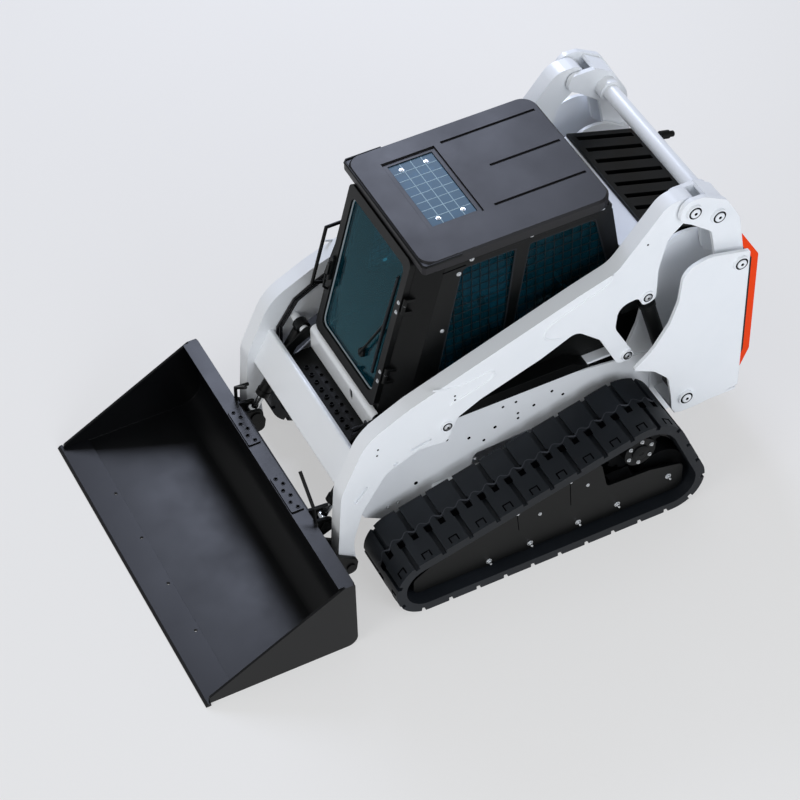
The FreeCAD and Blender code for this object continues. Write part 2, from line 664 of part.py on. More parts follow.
def make_attach_plate():
    plate = front_plate([
        (-PLATE_HALF, 90, 20), (PLATE_HALF, 90, 20), (PLATE_HALF, 280, 20), (PLATE_TOP_HALF, 360, 20),
        (PLATE_TOP_HALF, 440, 20), (-PLATE_TOP_HALF, 440, 20), (-PLATE_TOP_HALF, 360, 20),
        (-PLATE_HALF, 280, 20),
    ], PLATE_FRONT_Y, PLATE_REAR_Y)
    window = front_plate([
        (-330, 170, 20), (330, 170, 20), (330, 360, 20), (-330, 360, 20),
    ], PLATE_FRONT_Y - 1, PLATE_REAR_Y + 1)
    plate = plate.cut(window)
    slot = block(TILT_X - 34, TILT_X + 34, PLATE_FRONT_Y - 1, PLATE_REAR_Y + 1, TILT_ROD_PIN[1] - 50, 441)
    plate = plate.cut(slot).cut(mirror(slot))
    ear = [
        (PLATE_REAR_Y - 2, 110, 0), (BUCKET_PIN[0] + 30, BUCKET_PIN[1] - 46, 34),
        (BUCKET_PIN[0] + 46, BUCKET_PIN[1] + 40, 34), (PLATE_REAR_Y - 2, 330, 0),
    ]
    top_ear = [
        (PLATE_REAR_Y - 2, TILT_ROD_PIN[1] - 90, 0), (TILT_ROD_PIN[0] + 44, TILT_ROD_PIN[1] - 44, 34),
        (TILT_ROD_PIN[0] + 44, TILT_ROD_PIN[1] + 40, 34), (PLATE_REAR_Y - 2, TILT_ROD_PIN[1] + 58, 0),
    ]
    pieces = [plate]
    for x0, x1, points in (
        (ARM_IN - 32, ARM_IN - MOVE_CLEAR, ear),
        (ARM_OUT + MOVE_CLEAR, ARM_OUT + 32, ear),
        (TILT_X - 52, TILT_X - 34, top_ear),
        (TILT_X + 34, TILT_X + 52, top_ear),
    ):
        ear_shape = side_plate(points, x0, x1)
        pieces += [ear_shape, mirror(ear_shape)]
    for pin, radius, x0, x1 in (
        (BUCKET_PIN, PIN_R, ARM_IN - 31, ARM_OUT + 40),
        (TILT_ROD_PIN, PIN_R + 7, TILT_X + 51, TILT_X + 60),
        (TILT_ROD_PIN, PIN_R + 7, TILT_X - 60, TILT_X - 51),
    ):
        shape = cross_rod(pin, radius, x0, x1)
        pieces += [shape, mirror(shape)]
    end = block(PLATE_HALF - 60, ARM_OUT + 31, PLATE_FRONT_Y, PLATE_REAR_Y, 110, 270)
    pieces += [end, mirror(end)]
    return fuse(*pieces)


attach_plate = make_attach_plate()
write("attach_plate", attach_plate)


def make_attach_lever():
    """Bent lever that locks the plate, with its short grip to the rear."""
    y = PLATE_REAR_Y - 11
    foot, bend, tip = V(508, y, 436), V(500, y, 552), V(346, y, 697)
    grip = V(500, y + 78, 545)
    pieces = [bar(a, b, LEVER_R) for a, b in ((foot, bend), (bend, tip), (bend, grip))]
    return fuse(Part.makeSphere(LEVER_R, bend), *pieces)


LEVER_R = 10.0
write("attach_levers", both_sides(make_attach_lever().cut(attach_plate.removeSplitter())))

# Bucket


def bucket_section(inset):
    """Side outline of the bucket's sheet, front edge at the lip."""
    return [
        (LIP_Y + 30, inset, 0),
        (BUCKET_BACK_Y - inset, inset, 150 - inset),
        (BUCKET_BACK_Y - inset, BUCKET_TOP_Z, 0),
    ]


def make_bucket_shell():
    outer = side_plate(bucket_section(0.0) + [(BUCKET_BACK_Y - 90, BUCKET_TOP_Z, 0)],
                       -BUCKET_HALF + END_PLATE, BUCKET_HALF - END_PLATE)
    inner = side_plate([
        (LIP_Y, BUCKET_SHEET, 0), (BUCKET_BACK_Y - BUCKET_SHEET, BUCKET_SHEET, 140),
        (BUCKET_BACK_Y - BUCKET_SHEET, BUCKET_TOP_Z - 60, 0),
        (BUCKET_BACK_Y - 88, BUCKET_TOP_Z - BUCKET_SHEET, 0),
        (BUCKET_BACK_Y - 92, BUCKET_TOP_Z + 5, 0), (LIP_Y - 10, BUCKET_SHEET + 2, 0),
    ], -BUCKET_HALF + END_PLATE - 1, BUCKET_HALF - END_PLATE + 1)
    return outer.cut(inner)


def make_bucket_ends():
    points = [
        (LIP_Y + 30, 0, 0), (BUCKET_BACK_Y, 0, 60), (BUCKET_BACK_Y, BUCKET_TOP_Z, 10),
        (BUCKET_BACK_Y - 60, BUCKET_TOP_Z, 20), (LIP_Y + 30, 40, 20),
    ]
    return both_sides(side_plate(points, BUCKET_HALF - END_PLATE, BUCKET_HALF))


bucket_shell = fuse(make_bucket_shell(), make_bucket_ends())
edge = side_plate([
    (LIP_Y, 0, 0), (LIP_Y + 30, 0, 0), (LIP_Y + 30, 18, 0), (LIP_Y + 14, 18, 0), (LIP_Y, 4, 0),
], -LIP_HALF, LIP_HALF)
edge_top = block(-BUCKET_HALF + END_PLATE + 1, BUCKET_HALF - END_PLATE - 1, LIP_Y + 28, LIP_Y + 180,
                 BUCKET_SHEET, 18)
bolt_holes = [Part.makeCylinder(EDGE_HOLE_R, 40, V(x, EDGE_HOLE_Y, -10)) for x in EDGE_HOLE_XS]
write("bucket_shell", bucket_shell.cut(bolt_holes))
write("cutting_edge", fuse(edge, edge_top).cut(bolt_holes))


def make_bucket_step(x0, x1):
    step = flat_plate([
        (x0, BUCKET_BACK_Y - 84, 8), (x1, BUCKET_BACK_Y - 84, 8),
        (x1, BUCKET_BACK_Y - 10, 8), (x0, BUCKET_BACK_Y - 10, 8),
    ], BUCKET_TOP_Z, BUCKET_TOP_Z + 8)
    return step


write("bucket_steps", Part.makeCompound([make_bucket_step(-409, -125), make_bucket_step(141, 420)]))

# Cab: safety frame of panels, with its window openings

WALL_LOW_Z = CAB_FLOOR_Z + CAB_WALL
WALL_HIGH_Z = CAB_TOP_Z - CAB_WALL
SLOPE_LOW_Z = CAB_FLOOR_Z + 60
FRONT_SLOPE = (CAB_FRONT_TOP_Y - CAB_FRONT_LOW_Y) / (CAB_TOP_Z - SLOPE_LOW_Z)


def front_y(z):
    """Y of the cab's sloped front at a height."""
    return CAB_FRONT_LOW_Y + (z - SLOPE_LOW_Z) * FRONT_SLOPE


def sloped_prism(points, z0, z1):
    """Section (x, y behind the cab's front, radius), swept up along the sloped front."""
    face = outline(points, lambda x, y: V(x, front_y(z0) + y, z0))
    return face.extrude(V(0, (z1 - z0) * FRONT_SLOPE, z1 - z0))


def front_rail(z0, z1):
    """Cross rail along the sloped front, between the posts."""
    inside = DOOR_HALF - DOOR_LAP
    return sloped_prism([
        (-inside, 0, 0), (inside, 0, 0), (inside, CAB_WALL, 0), (-inside, CAB_WALL, 0),
    ], z0, z1)


DOOR_LAP = 30.0
DOOR_LOW_Z = CAB_FLOOR_Z + 100
DOOR_HIGH_Z = CAB_TOP_Z - 6
WINDOW_TOP_Z = CAB_TOP_Z - 67
WINDOW_LOW_Z = CAB_FLOOR_Z + 290
SIDE_WINDOWS = (
    [(-120, WINDOW_LOW_Z, 30), (258, WINDOW_LOW_Z, 30), (340, WINDOW_TOP_Z, 30), (28, WINDOW_TOP_Z, 60)],
    [(302, WINDOW_LOW_Z, 30), (855, WINDOW_LOW_Z, 60), (CAB_REAR_Y - 78, CAB_REAR_BEND_Z, 60),
     (CAB_REAR_TOP_Y - 95, WINDOW_TOP_Z, 60), (420, WINDOW_TOP_Z, 30)],
)
REAR_WINDOW_HALF = CAB_HALF - 120
REAR_WINDOW = [
    (-REAR_WINDOW_HALF, CAB_REAR_BEND_Z + 110, 30), (REAR_WINDOW_HALF, CAB_REAR_BEND_Z + 110, 30),
    (REAR_WINDOW_HALF, WINDOW_TOP_Z, 30), (-REAR_WINDOW_HALF, WINDOW_TOP_Z, 30),
]


def rear_y(z):
    """Y of the cab's rear above its bend."""
    return CAB_REAR_TOP_Y + (CAB_TOP_Z - z) * (CAB_REAR_Y - CAB_REAR_TOP_Y) / (CAB_TOP_Z - CAB_REAR_BEND_Z)


def make_cab_shape():
    """Closed outside of the cab, cut across its two front corners."""
    body = side_plate([
        (front_y(CAB_FLOOR_Z), CAB_FLOOR_Z, 0), (front_y(CAB_TOP_Z), CAB_TOP_Z, 0),
        (CAB_REAR_TOP_Y, CAB_TOP_Z, 0), (CAB_REAR_Y, CAB_REAR_BEND_Z, 0), (CAB_REAR_Y, CAB_FLOOR_Z, 0),
    ], -CAB_HALF, CAB_HALF)
    corner = sloped_prism([
        (DOOR_HALF, 0, 0), (DOOR_HALF, -50, 0), (CAB_HALF + 50, -50, 0), (CAB_HALF + 50, CAB_CHAMFER_Y, 0),
        (CAB_HALF, CAB_CHAMFER_Y, 0),
    ], CAB_FLOOR_Z - 1, CAB_TOP_Z + 1)
    return body.cut(corner).cut(mirror(corner))


def make_cab_side():
    wall = side_plate([
        (front_y(WALL_LOW_Z) + CAB_CHAMFER_Y, WALL_LOW_Z, 0),
        (front_y(WALL_HIGH_Z) + CAB_CHAMFER_Y, WALL_HIGH_Z, 0),
        (rear_y(WALL_HIGH_Z), WALL_HIGH_Z, 0), (CAB_REAR_Y, CAB_REAR_BEND_Z, 0), (CAB_REAR_Y, WALL_LOW_Z, 0),
    ], CAB_HALF - CAB_WALL, CAB_HALF)
    for window in SIDE_WINDOWS:
        wall = wall.cut(side_plate(window, CAB_HALF - CAB_WALL - 1, CAB_HALF + 1))
    return wall


def make_cab_post():
    return sloped_prism([
        (DOOR_HALF - DOOR_LAP, 0, 0), (DOOR_HALF, 0, 0), (CAB_HALF, CAB_CHAMFER_Y, 0),
        (CAB_HALF - CAB_WALL, CAB_CHAMFER_Y, 0), (DOOR_HALF - DOOR_LAP, CAB_WALL, 0),
    ], WALL_LOW_Z, WALL_HIGH_Z)


cab_shape = make_cab_shape()
skylight = block(*SKYLIGHT, CAB_TOP_Z - CAB_WALL - 1, CAB_TOP_Z + ROOF_THICK + 1)
rear_opening = front_plate(REAR_WINDOW, CAB_REAR_TOP_Y - CAB_WALL - 1, CAB_REAR_Y + 1)
rear_wall = side_plate([
    (CAB_REAR_Y, WALL_LOW_Z, 0), (CAB_REAR_Y, CAB_REAR_BEND_Z, 0), (rear_y(WALL_HIGH_Z), WALL_HIGH_Z, 0),
    (rear_y(WALL_HIGH_Z) - CAB_WALL, WALL_HIGH_Z, 0), (CAB_REAR_Y - CAB_WALL, CAB_REAR_BEND_Z, 0),
    (CAB_REAR_Y - CAB_WALL, WALL_LOW_Z, 0),
], -CAB_HALF + CAB_WALL, CAB_HALF - CAB_WALL)
write("cab_floor", cab_shape.common(block(-900, 900, -900, 900, CAB_FLOOR_Z, WALL_LOW_Z)))
write("cab_ceiling", cab_shape.common(block(-900, 900, -900, 900, WALL_HIGH_Z, CAB_TOP_Z)).cut(skylight))
write("cab_rear_wall", rear_wall.cut(rear_opening))
write("cab_sides", both_sides(make_cab_side()))
write("cab_front_rails", Part.makeCompound([
    front_rail(WALL_LOW_Z, DOOR_LOW_Z + DOOR_LAP), front_rail(DOOR_HIGH_Z - 100, WALL_HIGH_Z)]))


ROOF_RIM = 12.0
ROOF_RIBS = (
    # x, front end y, rear end y
    (-332.0, 308.0, 868.0), (-56.0, 454.0, 868.0), (220.0, 333.0, 868.0),
)


def roof_outline(inset, z):
    x = ROOF_HALF - inset
    radius = ROOF_CORNER - inset
    return outline([
        (-x, ROOF_FRONT_Y + inset, radius), (x, ROOF_FRONT_Y + inset, radius),
        (x, ROOF_REAR_Y - inset, radius), (-x, ROOF_REAR_Y - inset, radius),
    ], lambda a, b: V(a, b, z)).OuterWire


def make_roof():
    """Moulded roof with a tapered rim, three shallow grooves and the recess round the skylight."""
    top_z = CAB_TOP_Z + ROOF_THICK
    base = Part.Face(roof_outline(0.0, CAB_TOP_Z)).extrude(V(0, 0, ROOF_THICK - ROOF_RIM))
    rim = Part.makeLoft([roof_outline(0.0, top_z - ROOF_RIM), roof_outline(ROOF_RIM, top_z)], True)
    roof = fuse(base, rim)
    grooves = [block(x - 9, x + 9, y0, y1, top_z - 8, top_z + 1) for x, y0, y1 in ROOF_RIBS]
    recess = block(SKYLIGHT[0] - 26, SKYLIGHT[1] + 26, SKYLIGHT[2] - 26, SKYLIGHT[3] + 26,
                   top_z - 10, top_z + 1)
    return roof.cut([skylight, recess] + grooves)


write("roof_panel", make_roof())
write("roof_window", block(SKYLIGHT[0] + SEAT_CLEAR, SKYLIGHT[1] - SEAT_CLEAR, SKYLIGHT[2] + SEAT_CLEAR,
                           SKYLIGHT[3] - SEAT_CLEAR, CAB_TOP_Z + SEAT_CLEAR, CAB_TOP_Z + 46))

SCREEN_THICK = 12.0
screens = []
for window in SIDE_WINDOWS:
    screen_face = seated(outline(window, lambda y, z: V(CAB_HALF - CAB_WALL / 2, y, z)))
    screens.append(screen_face.extrude(V(SCREEN_THICK, 0, 0)))
write("side_screens", both_sides(Part.makeCompound(screens)))
rear_face = seated(outline(REAR_WINDOW, lambda x, z: V(x, rear_y(z) - 20, z)))
write("rear_window", rear_face.extrude(V(0, 6, 0)))

# Cab door, hinged along its left edge

DOOR_SLOPE = math.atan(FRONT_SLOPE)
DOOR_GAP = 1.0
DOOR_HINGE_X = DOOR_HALF + 16
DOOR_HINGE_OUT = DOOR_GAP + DOOR_THICK / 2
DOOR_HINGE_ZS = (CAB_FLOOR_Z + 300.0, CAB_TOP_Z - 300.0)


def door_point(x, z, out):
    """Point on the cab's front plane at a height, moved out of the plane by a distance."""
    return V(x, front_y(z) - out * math.cos(DOOR_SLOPE), z + out * math.sin(DOOR_SLOPE))


DOOR_UP = V(0, math.sin(DOOR_SLOPE), math.cos(DOOR_SLOPE))
DOOR_OUT = V(0, -math.cos(DOOR_SLOPE), math.sin(DOOR_SLOPE))


def door_slab(x0, x1, low, length, out0, out1, radius):
    """Slab parallel to the sloped cab front; low is the height of its lower edge."""
    base = door_point(0, low, out0)
    face = outline([(x0, 0, radius), (x1, 0, radius), (x1, length, radius), (x0, length, radius)],
                   lambda a, b: base + V(a, 0, 0) + DOOR_UP * b)
    return face.extrude(DOOR_OUT * (out1 - out0))


def hinge_bar(radius, low, start, length):
    """Round bar on the door's hinge line, from start above the point at height low."""
    foot = door_point(DOOR_HINGE_X, low, DOOR_HINGE_OUT) + DOOR_UP * start
    return Part.makeCylinder(radius, length, foot, DOOR_UP)


def make_door():
    length = (DOOR_HIGH_Z - DOOR_LOW_Z) / math.cos(DOOR_SLOPE)
    pane = DOOR_HALF - 50
    door = door_slab(-DOOR_HALF, DOOR_HALF, DOOR_LOW_Z, length, DOOR_GAP, DOOR_GAP + DOOR_THICK, 40)
    opening = door_slab(-pane, pane, DOOR_LOW_Z + 60, length - 124,
                        DOOR_GAP - 9, DOOR_GAP + DOOR_THICK + 9, 40)
    door = door.cut(opening)
    glass = door_slab(-pane + SEAT_CLEAR, pane - SEAT_CLEAR, DOOR_LOW_Z + 60 + SEAT_CLEAR,
                      length - 124 - 2 * SEAT_CLEAR, DOOR_GAP + 12, DOOR_GAP + 18, 40)
    for z in DOOR_HINGE_ZS:
        knuckle = door_slab(DOOR_HALF - 1, DOOR_HINGE_X, z, KNUCKLE,
                            DOOR_HINGE_OUT - 6, DOOR_HINGE_OUT + 6, 0)
        knuckle = knuckle.fuse(hinge_bar(HINGE_R, z, 0, KNUCKLE))
        door = door.fuse(knuckle).cut(hinge_bar(HINGE_PIN_R + PIN_CLEAR, z, -1, KNUCKLE + 2))
    return door, glass


def make_left_post():
    """Left front post with the door's hinge lugs and pins, above and below each knuckle."""
    post = make_cab_post()
    for z in DOOR_HINGE_ZS:
        post = post.fuse(hinge_bar(HINGE_PIN_R, z, -20, KNUCKLE + 40))
        for start in (-20, KNUCKLE + SEAT_CLEAR):
            lug = hinge_bar(HINGE_R, z, start, 20 - SEAT_CLEAR)
            foot = door_point(0, z, -40) + DOOR_UP * start
            face = outline([(DOOR_HINGE_X - 8, 0), (DOOR_HINGE_X + HINGE_R, 0),
                            (DOOR_HINGE_X + HINGE_R, 20 - SEAT_CLEAR), (DOOR_HINGE_X - 8, 20 - SEAT_CLEAR)],
                           lambda a, b: foot + V(a, 0, 0) + DOOR_UP * b)
            post = post.fuse(lug).fuse(face.extrude(DOOR_OUT * (40 + DOOR_HINGE_OUT)))
    return post.removeSplitter()


door, door_glass = make_door()
write("cab_door", door.removeSplitter())
write("door_glass", door_glass)
write("cab_posts", Part.makeCompound([make_left_post(), mirror(make_cab_post())]))

# Seat and controls

SEAT_Z = CAB_FLOOR_Z + 260
SEAT_REAR_Y = CAB_REAR_Y - 245
cushion = block(-240, 240, SEAT_REAR_Y - 520, SEAT_REAR_Y - 60, SEAT_Z, SEAT_Z + 90)
backrest = block(-220, 220, SEAT_REAR_Y - 100, SEAT_REAR_Y, SEAT_Z + 70, SEAT_Z + 580)
write("seat", fuse(cushion, backrest))
write("seat_base", block(-220, 220, SEAT_REAR_Y - 480, SEAT_REAR_Y, WALL_LOW_Z, SEAT_Z - SEAT_CLEAR))

# Engine and rear deck

COWL_HALF = UPRIGHT_IN - SEAT_CLEAR
COWL_FRONT_Y = CAB_REAR_Y + 8
COWL_REAR_Y = TUB_REAR_Y - 90
COWL_LOW_Z = GATE_CORNER_Z - 100
COWL_WALL = 16.0
COVER_FRONT = (COWL_FRONT_Y + 175, GATE_CORNER_Z + 380)
COVER_REAR = (GATE_FRONT_Y - 8, GATE_TOP_Z - 15)
COVER_THICK = 36.0
COVER_SLOPE = (COVER_REAR[1] - COVER_FRONT[1]) / (COVER_REAR[0] - COVER_FRONT[0])
LOUVRES = 9
LOUVRE_PITCH = 2 * COWL_HALF / LOUVRES
LOUVRE_GAP = 34.0
DECK_THICK = 16.0
engine = block(-300, 300, COWL_FRONT_Y, COWL_REAR_Y, TUB_FLOOR_Z + 90, COWL_LOW_Z)
feet = [block(x, x + 90, y, y + 60, TUB_FLOOR_Z + TUB_WALL + SEAT_CLEAR, TUB_FLOOR_Z + 91)
        for x in (-300, 210) for y in (COWL_FRONT_Y + 20, COWL_REAR_Y - 260)]
write("engine_block", fuse(engine, *feet))


def cover_under(y):
    """Height of the cover's underside."""
    return COVER_FRONT[1] - COVER_THICK + (y - COVER_FRONT[0]) * COVER_SLOPE


def make_rear_cover():
    """Sloped louvred cover over the engine."""
    cover = side_plate([
        (COVER_FRONT[0], cover_under(COVER_FRONT[0]), 0), (COVER_FRONT[0], COVER_FRONT[1], 6),
        (COVER_REAR[0], COVER_REAR[1], 6), (COVER_REAR[0], cover_under(COVER_REAR[0]), 0),
    ], -COWL_HALF, COWL_HALF)
    middles = [LOUVRE_PITCH * (n + 0.5) - COWL_HALF for n in range(LOUVRES)]
    gaps = [block(x - LOUVRE_GAP / 2, x + LOUVRE_GAP / 2, COVER_FRONT[0] + 40, COVER_REAR[0] - 50, COWL_LOW_Z,
                  COVER_FRONT[1] + 9) for x in middles]
    return cover.cut(gaps)


def make_cowl():
    """Open box round the engine's top, its upper edge under the cover and the deck."""
    flat_z = cover_under(COVER_FRONT[0]) - SEAT_CLEAR
    cowl = side_plate([
        (COWL_FRONT_Y, COWL_LOW_Z, 0), (COWL_REAR_Y, COWL_LOW_Z, 0),
        (COWL_REAR_Y, cover_under(COWL_REAR_Y) - SEAT_CLEAR, 0), (COVER_FRONT[0], flat_z, 0),
        (COWL_FRONT_Y, flat_z, 0),
    ], -COWL_HALF, COWL_HALF)
    return cowl.cut(block(-COWL_HALF + COWL_WALL, COWL_HALF - COWL_WALL, COWL_FRONT_Y + COWL_WALL,
                          COWL_REAR_Y - COWL_WALL, COWL_LOW_Z - 10, flat_z + 10))


write("rear_cover", make_rear_cover())
write("engine_cowl", make_cowl())
deck_z = cover_under(COVER_FRONT[0])
write("rear_deck", block(-COWL_HALF, COWL_HALF, COWL_FRONT_Y, COVER_FRONT[0] - SEAT_CLEAR, deck_z,
                         deck_z + DECK_THICK))

# Tailgate


GATE_PROFILE = [
    (GATE_FRONT_Y, GATE_BOTTOM_Z, 20), (TAIL_Y - 55, GATE_BOTTOM_Z, 30), (TAIL_Y, GATE_BOTTOM_Z + 130, 40),
    (TAIL_Y, GATE_CORNER_Z, 40), (TAIL_Y - 150, GATE_TOP_Z, 20), (GATE_FRONT_Y, GATE_TOP_Z, 10),
]
GATE_SLOT_ZS = [GATE_BOTTOM_Z + 300 + 56 * n for n in range(10)]


def gate_core(inset):
    """Side core of the gate, inside the rim by inset."""
    face = outline(GATE_PROFILE, lambda y, z: V(GATE_HALF - GATE_RIM_SIDE - 1, y, z)).makeOffset2D(-inset)
    core = face.extrude(V(GATE_RIM_SIDE + 1, 0, 0))
    front = block(GATE_HALF - GATE_RIM_SIDE - 1, GATE_HALF, GATE_FRONT_Y, GATE_FRONT_Y + 114 - inset,
                  GATE_BOTTOM_Z + inset, GATE_TOP_Z - inset)
    return core.fuse(front)


def make_tailgate():
    """Gate with its side cores and a grille of recessed slots in the rear face."""
    body = side_plate(GATE_PROFILE, -GATE_HALF + GATE_RIM_SIDE, GATE_HALF - GATE_RIM_SIDE)
    slots = [block(-320, 320, TAIL_Y - 18, TAIL_Y + 1, z, z + 26) for z in GATE_SLOT_ZS]
    core = gate_core(GATE_RIM + SEAT_CLEAR)
    return fuse(body.cut(slots), core, mirror(core))


def make_gate_rim():
    rim = side_plate(GATE_PROFILE, GATE_HALF - GATE_RIM_SIDE + SEAT_CLEAR, GATE_HALF)
    return rim.cut(gate_core(GATE_RIM))


GATE_HINGE = (GATE_HALF + 14, GATE_FRONT_Y + 6)
HINGE_ZS = (GATE_BOTTOM_Z + 220, GATE_BOTTOM_Z + 820)


def upright_bar(radius, z0, z1):
    return Part.makeCylinder(radius, z1 - z0, V(GATE_HINGE[0], GATE_HINGE[1], z0))


def make_gate_knuckles():
    """Knuckles beside the gate, bored for the hinge pins."""
    knuckles = []
    for z in HINGE_ZS:
        tab = block(GATE_HALF - 1, GATE_HINGE[0], GATE_HINGE[1] - 6, GATE_HINGE[1] + HINGE_R, z, z + KNUCKLE)
        knuckle = tab.fuse(upright_bar(HINGE_R, z, z + KNUCKLE))
        knuckles.append(knuckle.cut(upright_bar(HINGE_PIN_R + PIN_CLEAR, z - 1, z + KNUCKLE + 1)))
    return knuckles


def make_hinge_lugs():
    """Lugs on the left upright, above and below each knuckle, with their pins."""
    lugs = []
    for z in HINGE_ZS:
        lugs.append(upright_bar(HINGE_PIN_R, z - 20, z + KNUCKLE + 20))
        for low in (z - 20, z + KNUCKLE + SEAT_CLEAR):
            high = low + 20 - SEAT_CLEAR
            lugs.append(block(GATE_HINGE[0] - HINGE_R, GATE_HINGE[0] + HINGE_R, 1580, GATE_HINGE[1],
                              low, high))
            lugs.append(upright_bar(HINGE_R, low, high))
    return lugs


write("tailgate", fuse(make_tailgate(), *make_gate_knuckles()))
write("tailgate_rim", both_sides(make_gate_rim()))
write("upright_left", fuse(upright, *make_hinge_lugs()))
write("upright_right", mirror(upright))


# Step in front of the cab

STEP_HALF = CAB_HALF - 64
STEP_TOP_Z = 790.0

write("front_step", side_plate([
    (-662, 692, 8), (-619, 774, 12), (-540, STEP_TOP_Z, 20), (-470, STEP_TOP_Z, 0),
    (-470, FRONT_WALL_Z + SEAT_CLEAR, 0),
    (-618, FRONT_WALL_Z + SEAT_CLEAR, 10), (-650, 670, 10),
], -STEP_HALF, STEP_HALF))

# Rolled apron between the step and the cab, with its oval hole


def make_apron():
    """Sheet that stands on the step and rolls back under the door."""
    low_z = STEP_TOP_Z + SEAT_CLEAR
    top_z = DOOR_LOW_Z - 12
    sheet = side_plate([
        (APRON_Y, low_z, 0), (APRON_Y, top_z, 34), (APRON_Y + 38, top_z, 0),
        (APRON_Y + 38, top_z - APRON_THICK, 0),
        (APRON_Y + APRON_THICK, top_z - APRON_THICK, 34 - APRON_THICK),
        (APRON_Y + APRON_THICK, low_z, 0),
    ], -STEP_HALF, STEP_HALF)
    hole = front_plate(capsule((127, 862), (127, 900), 17), APRON_Y - 1, APRON_Y + APRON_THICK + 1)
    return sheet.cut(hole)


APRON_Y = -482.0
APRON_THICK = 6.0
write("front_apron", make_apron())


def make_coupler(y, z):
    """Coupler body with its collar, pointing forward."""
    body = Part.makeCylinder(11, 80, V(COUPLER_X, y, z), V(0, -1, 0))
    return body.fuse(Part.makeCylinder(15, 30, V(COUPLER_X, y - 40, z), V(0, -1, 0)))


COUPLER_X = STEP_HALF - 20
coupler_post = block(COUPLER_X - 14, COUPLER_X + 14, -512, -500, STEP_TOP_Z + SEAT_CLEAR, 892)
write("hose_couplers", fuse(coupler_post, make_coupler(-511, 824), make_coupler(-511, 868)))


def make_grab_handle():
    """Loop handle on the right front post, with the door's latch box below it."""
    x = -CAB_HALF + 14
    runs = [(front_y(1575) + 125, 1575), (-330, 1574), (-430, 1213), (front_y(1145) + 125, 1145)]
    handle = tube(x, runs, 10)
    face = outline([(front_y(1150) + 24, 1250), (front_y(1150) + 110, 1250), (front_y(1430) + 110, 1430),
                    (front_y(1430) + 24, 1430)], lambda y, z: V(x - 6, y, z))
    return handle.fuse(face.extrude(V(40, 0, 0)))


grab_handle = make_grab_handle().cut(cab_shape)
write("grab_handle", grab_handle)

# Black rails along the chassis top, beside the cab

rail_low_z = CAB_FLOOR_Z + SEAT_CLEAR
fender_rail = side_plate([
    (-103, rail_low_z, 0), (-95, rail_low_z + 70, 12), (640, rail_low_z + 70, 40), (749, rail_low_z, 0),
], CAB_HALF + SEAT_CLEAR, ARM_IN - MOVE_CLEAR)
write("fender_rails", both_sides(fender_rail))
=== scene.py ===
"""Looks of a compact track loader, dressed over its CAD frame."""

import math

import bmesh
import bpy
from mathutils import Matrix, Vector


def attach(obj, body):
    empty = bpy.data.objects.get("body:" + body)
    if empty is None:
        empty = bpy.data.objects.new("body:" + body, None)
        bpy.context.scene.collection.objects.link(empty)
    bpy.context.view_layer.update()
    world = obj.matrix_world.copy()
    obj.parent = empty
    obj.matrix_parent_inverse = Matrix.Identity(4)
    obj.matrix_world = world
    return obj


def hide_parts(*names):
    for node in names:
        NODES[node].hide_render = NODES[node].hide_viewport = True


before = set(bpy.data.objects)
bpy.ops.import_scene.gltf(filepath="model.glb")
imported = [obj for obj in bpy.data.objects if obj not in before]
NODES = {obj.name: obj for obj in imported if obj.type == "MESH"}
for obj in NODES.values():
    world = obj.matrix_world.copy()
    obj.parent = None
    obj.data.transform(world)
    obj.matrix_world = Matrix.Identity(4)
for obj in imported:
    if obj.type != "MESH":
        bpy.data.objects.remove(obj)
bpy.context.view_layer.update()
MM = 0.001

UP = Vector((0, 0, 1))
BOTH_SIDES = (1, -1)


# Camera at the photo's angle

CAMERA_AZIMUTH = 64.467
CAMERA_ELEVATION = 46.837
CAMERA_ROLL = -1.832
CAMERA_PLACE = (9.322, -4.586, 11.555)
CAMERA_LENS = 123.75


def make_camera():
    angles = (CAMERA_AZIMUTH, CAMERA_ELEVATION, CAMERA_ROLL)
    azimuth, elevation, roll = (math.radians(angle) for angle in angles)
    back = Vector((
        math.sin(azimuth) * math.cos(elevation),
        -math.cos(azimuth) * math.cos(elevation),
        math.sin(elevation),
    ))
    right = (-back).cross(UP).normalized()
    up = right.cross(-back)
    turned_right = right * math.cos(roll) + up * math.sin(roll)
    turned_up = -right * math.sin(roll) + up * math.cos(roll)
    camera = bpy.data.objects.new("camera", bpy.data.cameras.new("camera"))
    camera.matrix_world = Matrix.Translation(CAMERA_PLACE) @ Matrix(
        (turned_right, turned_up, back)).transposed().to_4x4()
    camera.data.lens = CAMERA_LENS
    camera.data.sensor_width = 36
    camera.data.clip_end = 200
    bpy.context.scene.collection.objects.link(camera)
    bpy.context.scene.camera = camera


make_camera()


# Materials

def linear(code):
    """Linear colour of an sRGB hex value."""
    channels = [int(code[i:i + 2], 16) / 255 for i in (1, 3, 5)]
    return tuple(c / 12.92 if c <= 0.04045 else ((c + 0.055) / 1.055) ** 2.4 for c in channels) + (1.0,)


def add(tree, kind, settings=None, values=None, links=None):
    """Adds a node with its settings, its socket values and its incoming links."""
    node = tree.nodes.new(kind)
    for name, value in (settings or {}).items():
        setattr(node, name, value)
    for name, value in (values or {}).items():
        node.inputs[name].default_value = value
    for name, source in (links or {}).items():
        tree.links.new(source, node.inputs[name])
    return node


def new_material(name):
    material = bpy.data.materials.new(name)
    material.use_nodes = True
    material.node_tree.nodes.clear()
    return material, material.node_tree


def finish_material(tree, shader):
    add(tree, "ShaderNodeOutputMaterial", links={"Surface": shader.outputs[0]})


# Edge rounding and the size of the dust clouds, in mm; the height of the grain, in metres.
EDGE_MM = 2.5
CLOUD_MM = 350.0
GRAIN_HEIGHT = 0.0004


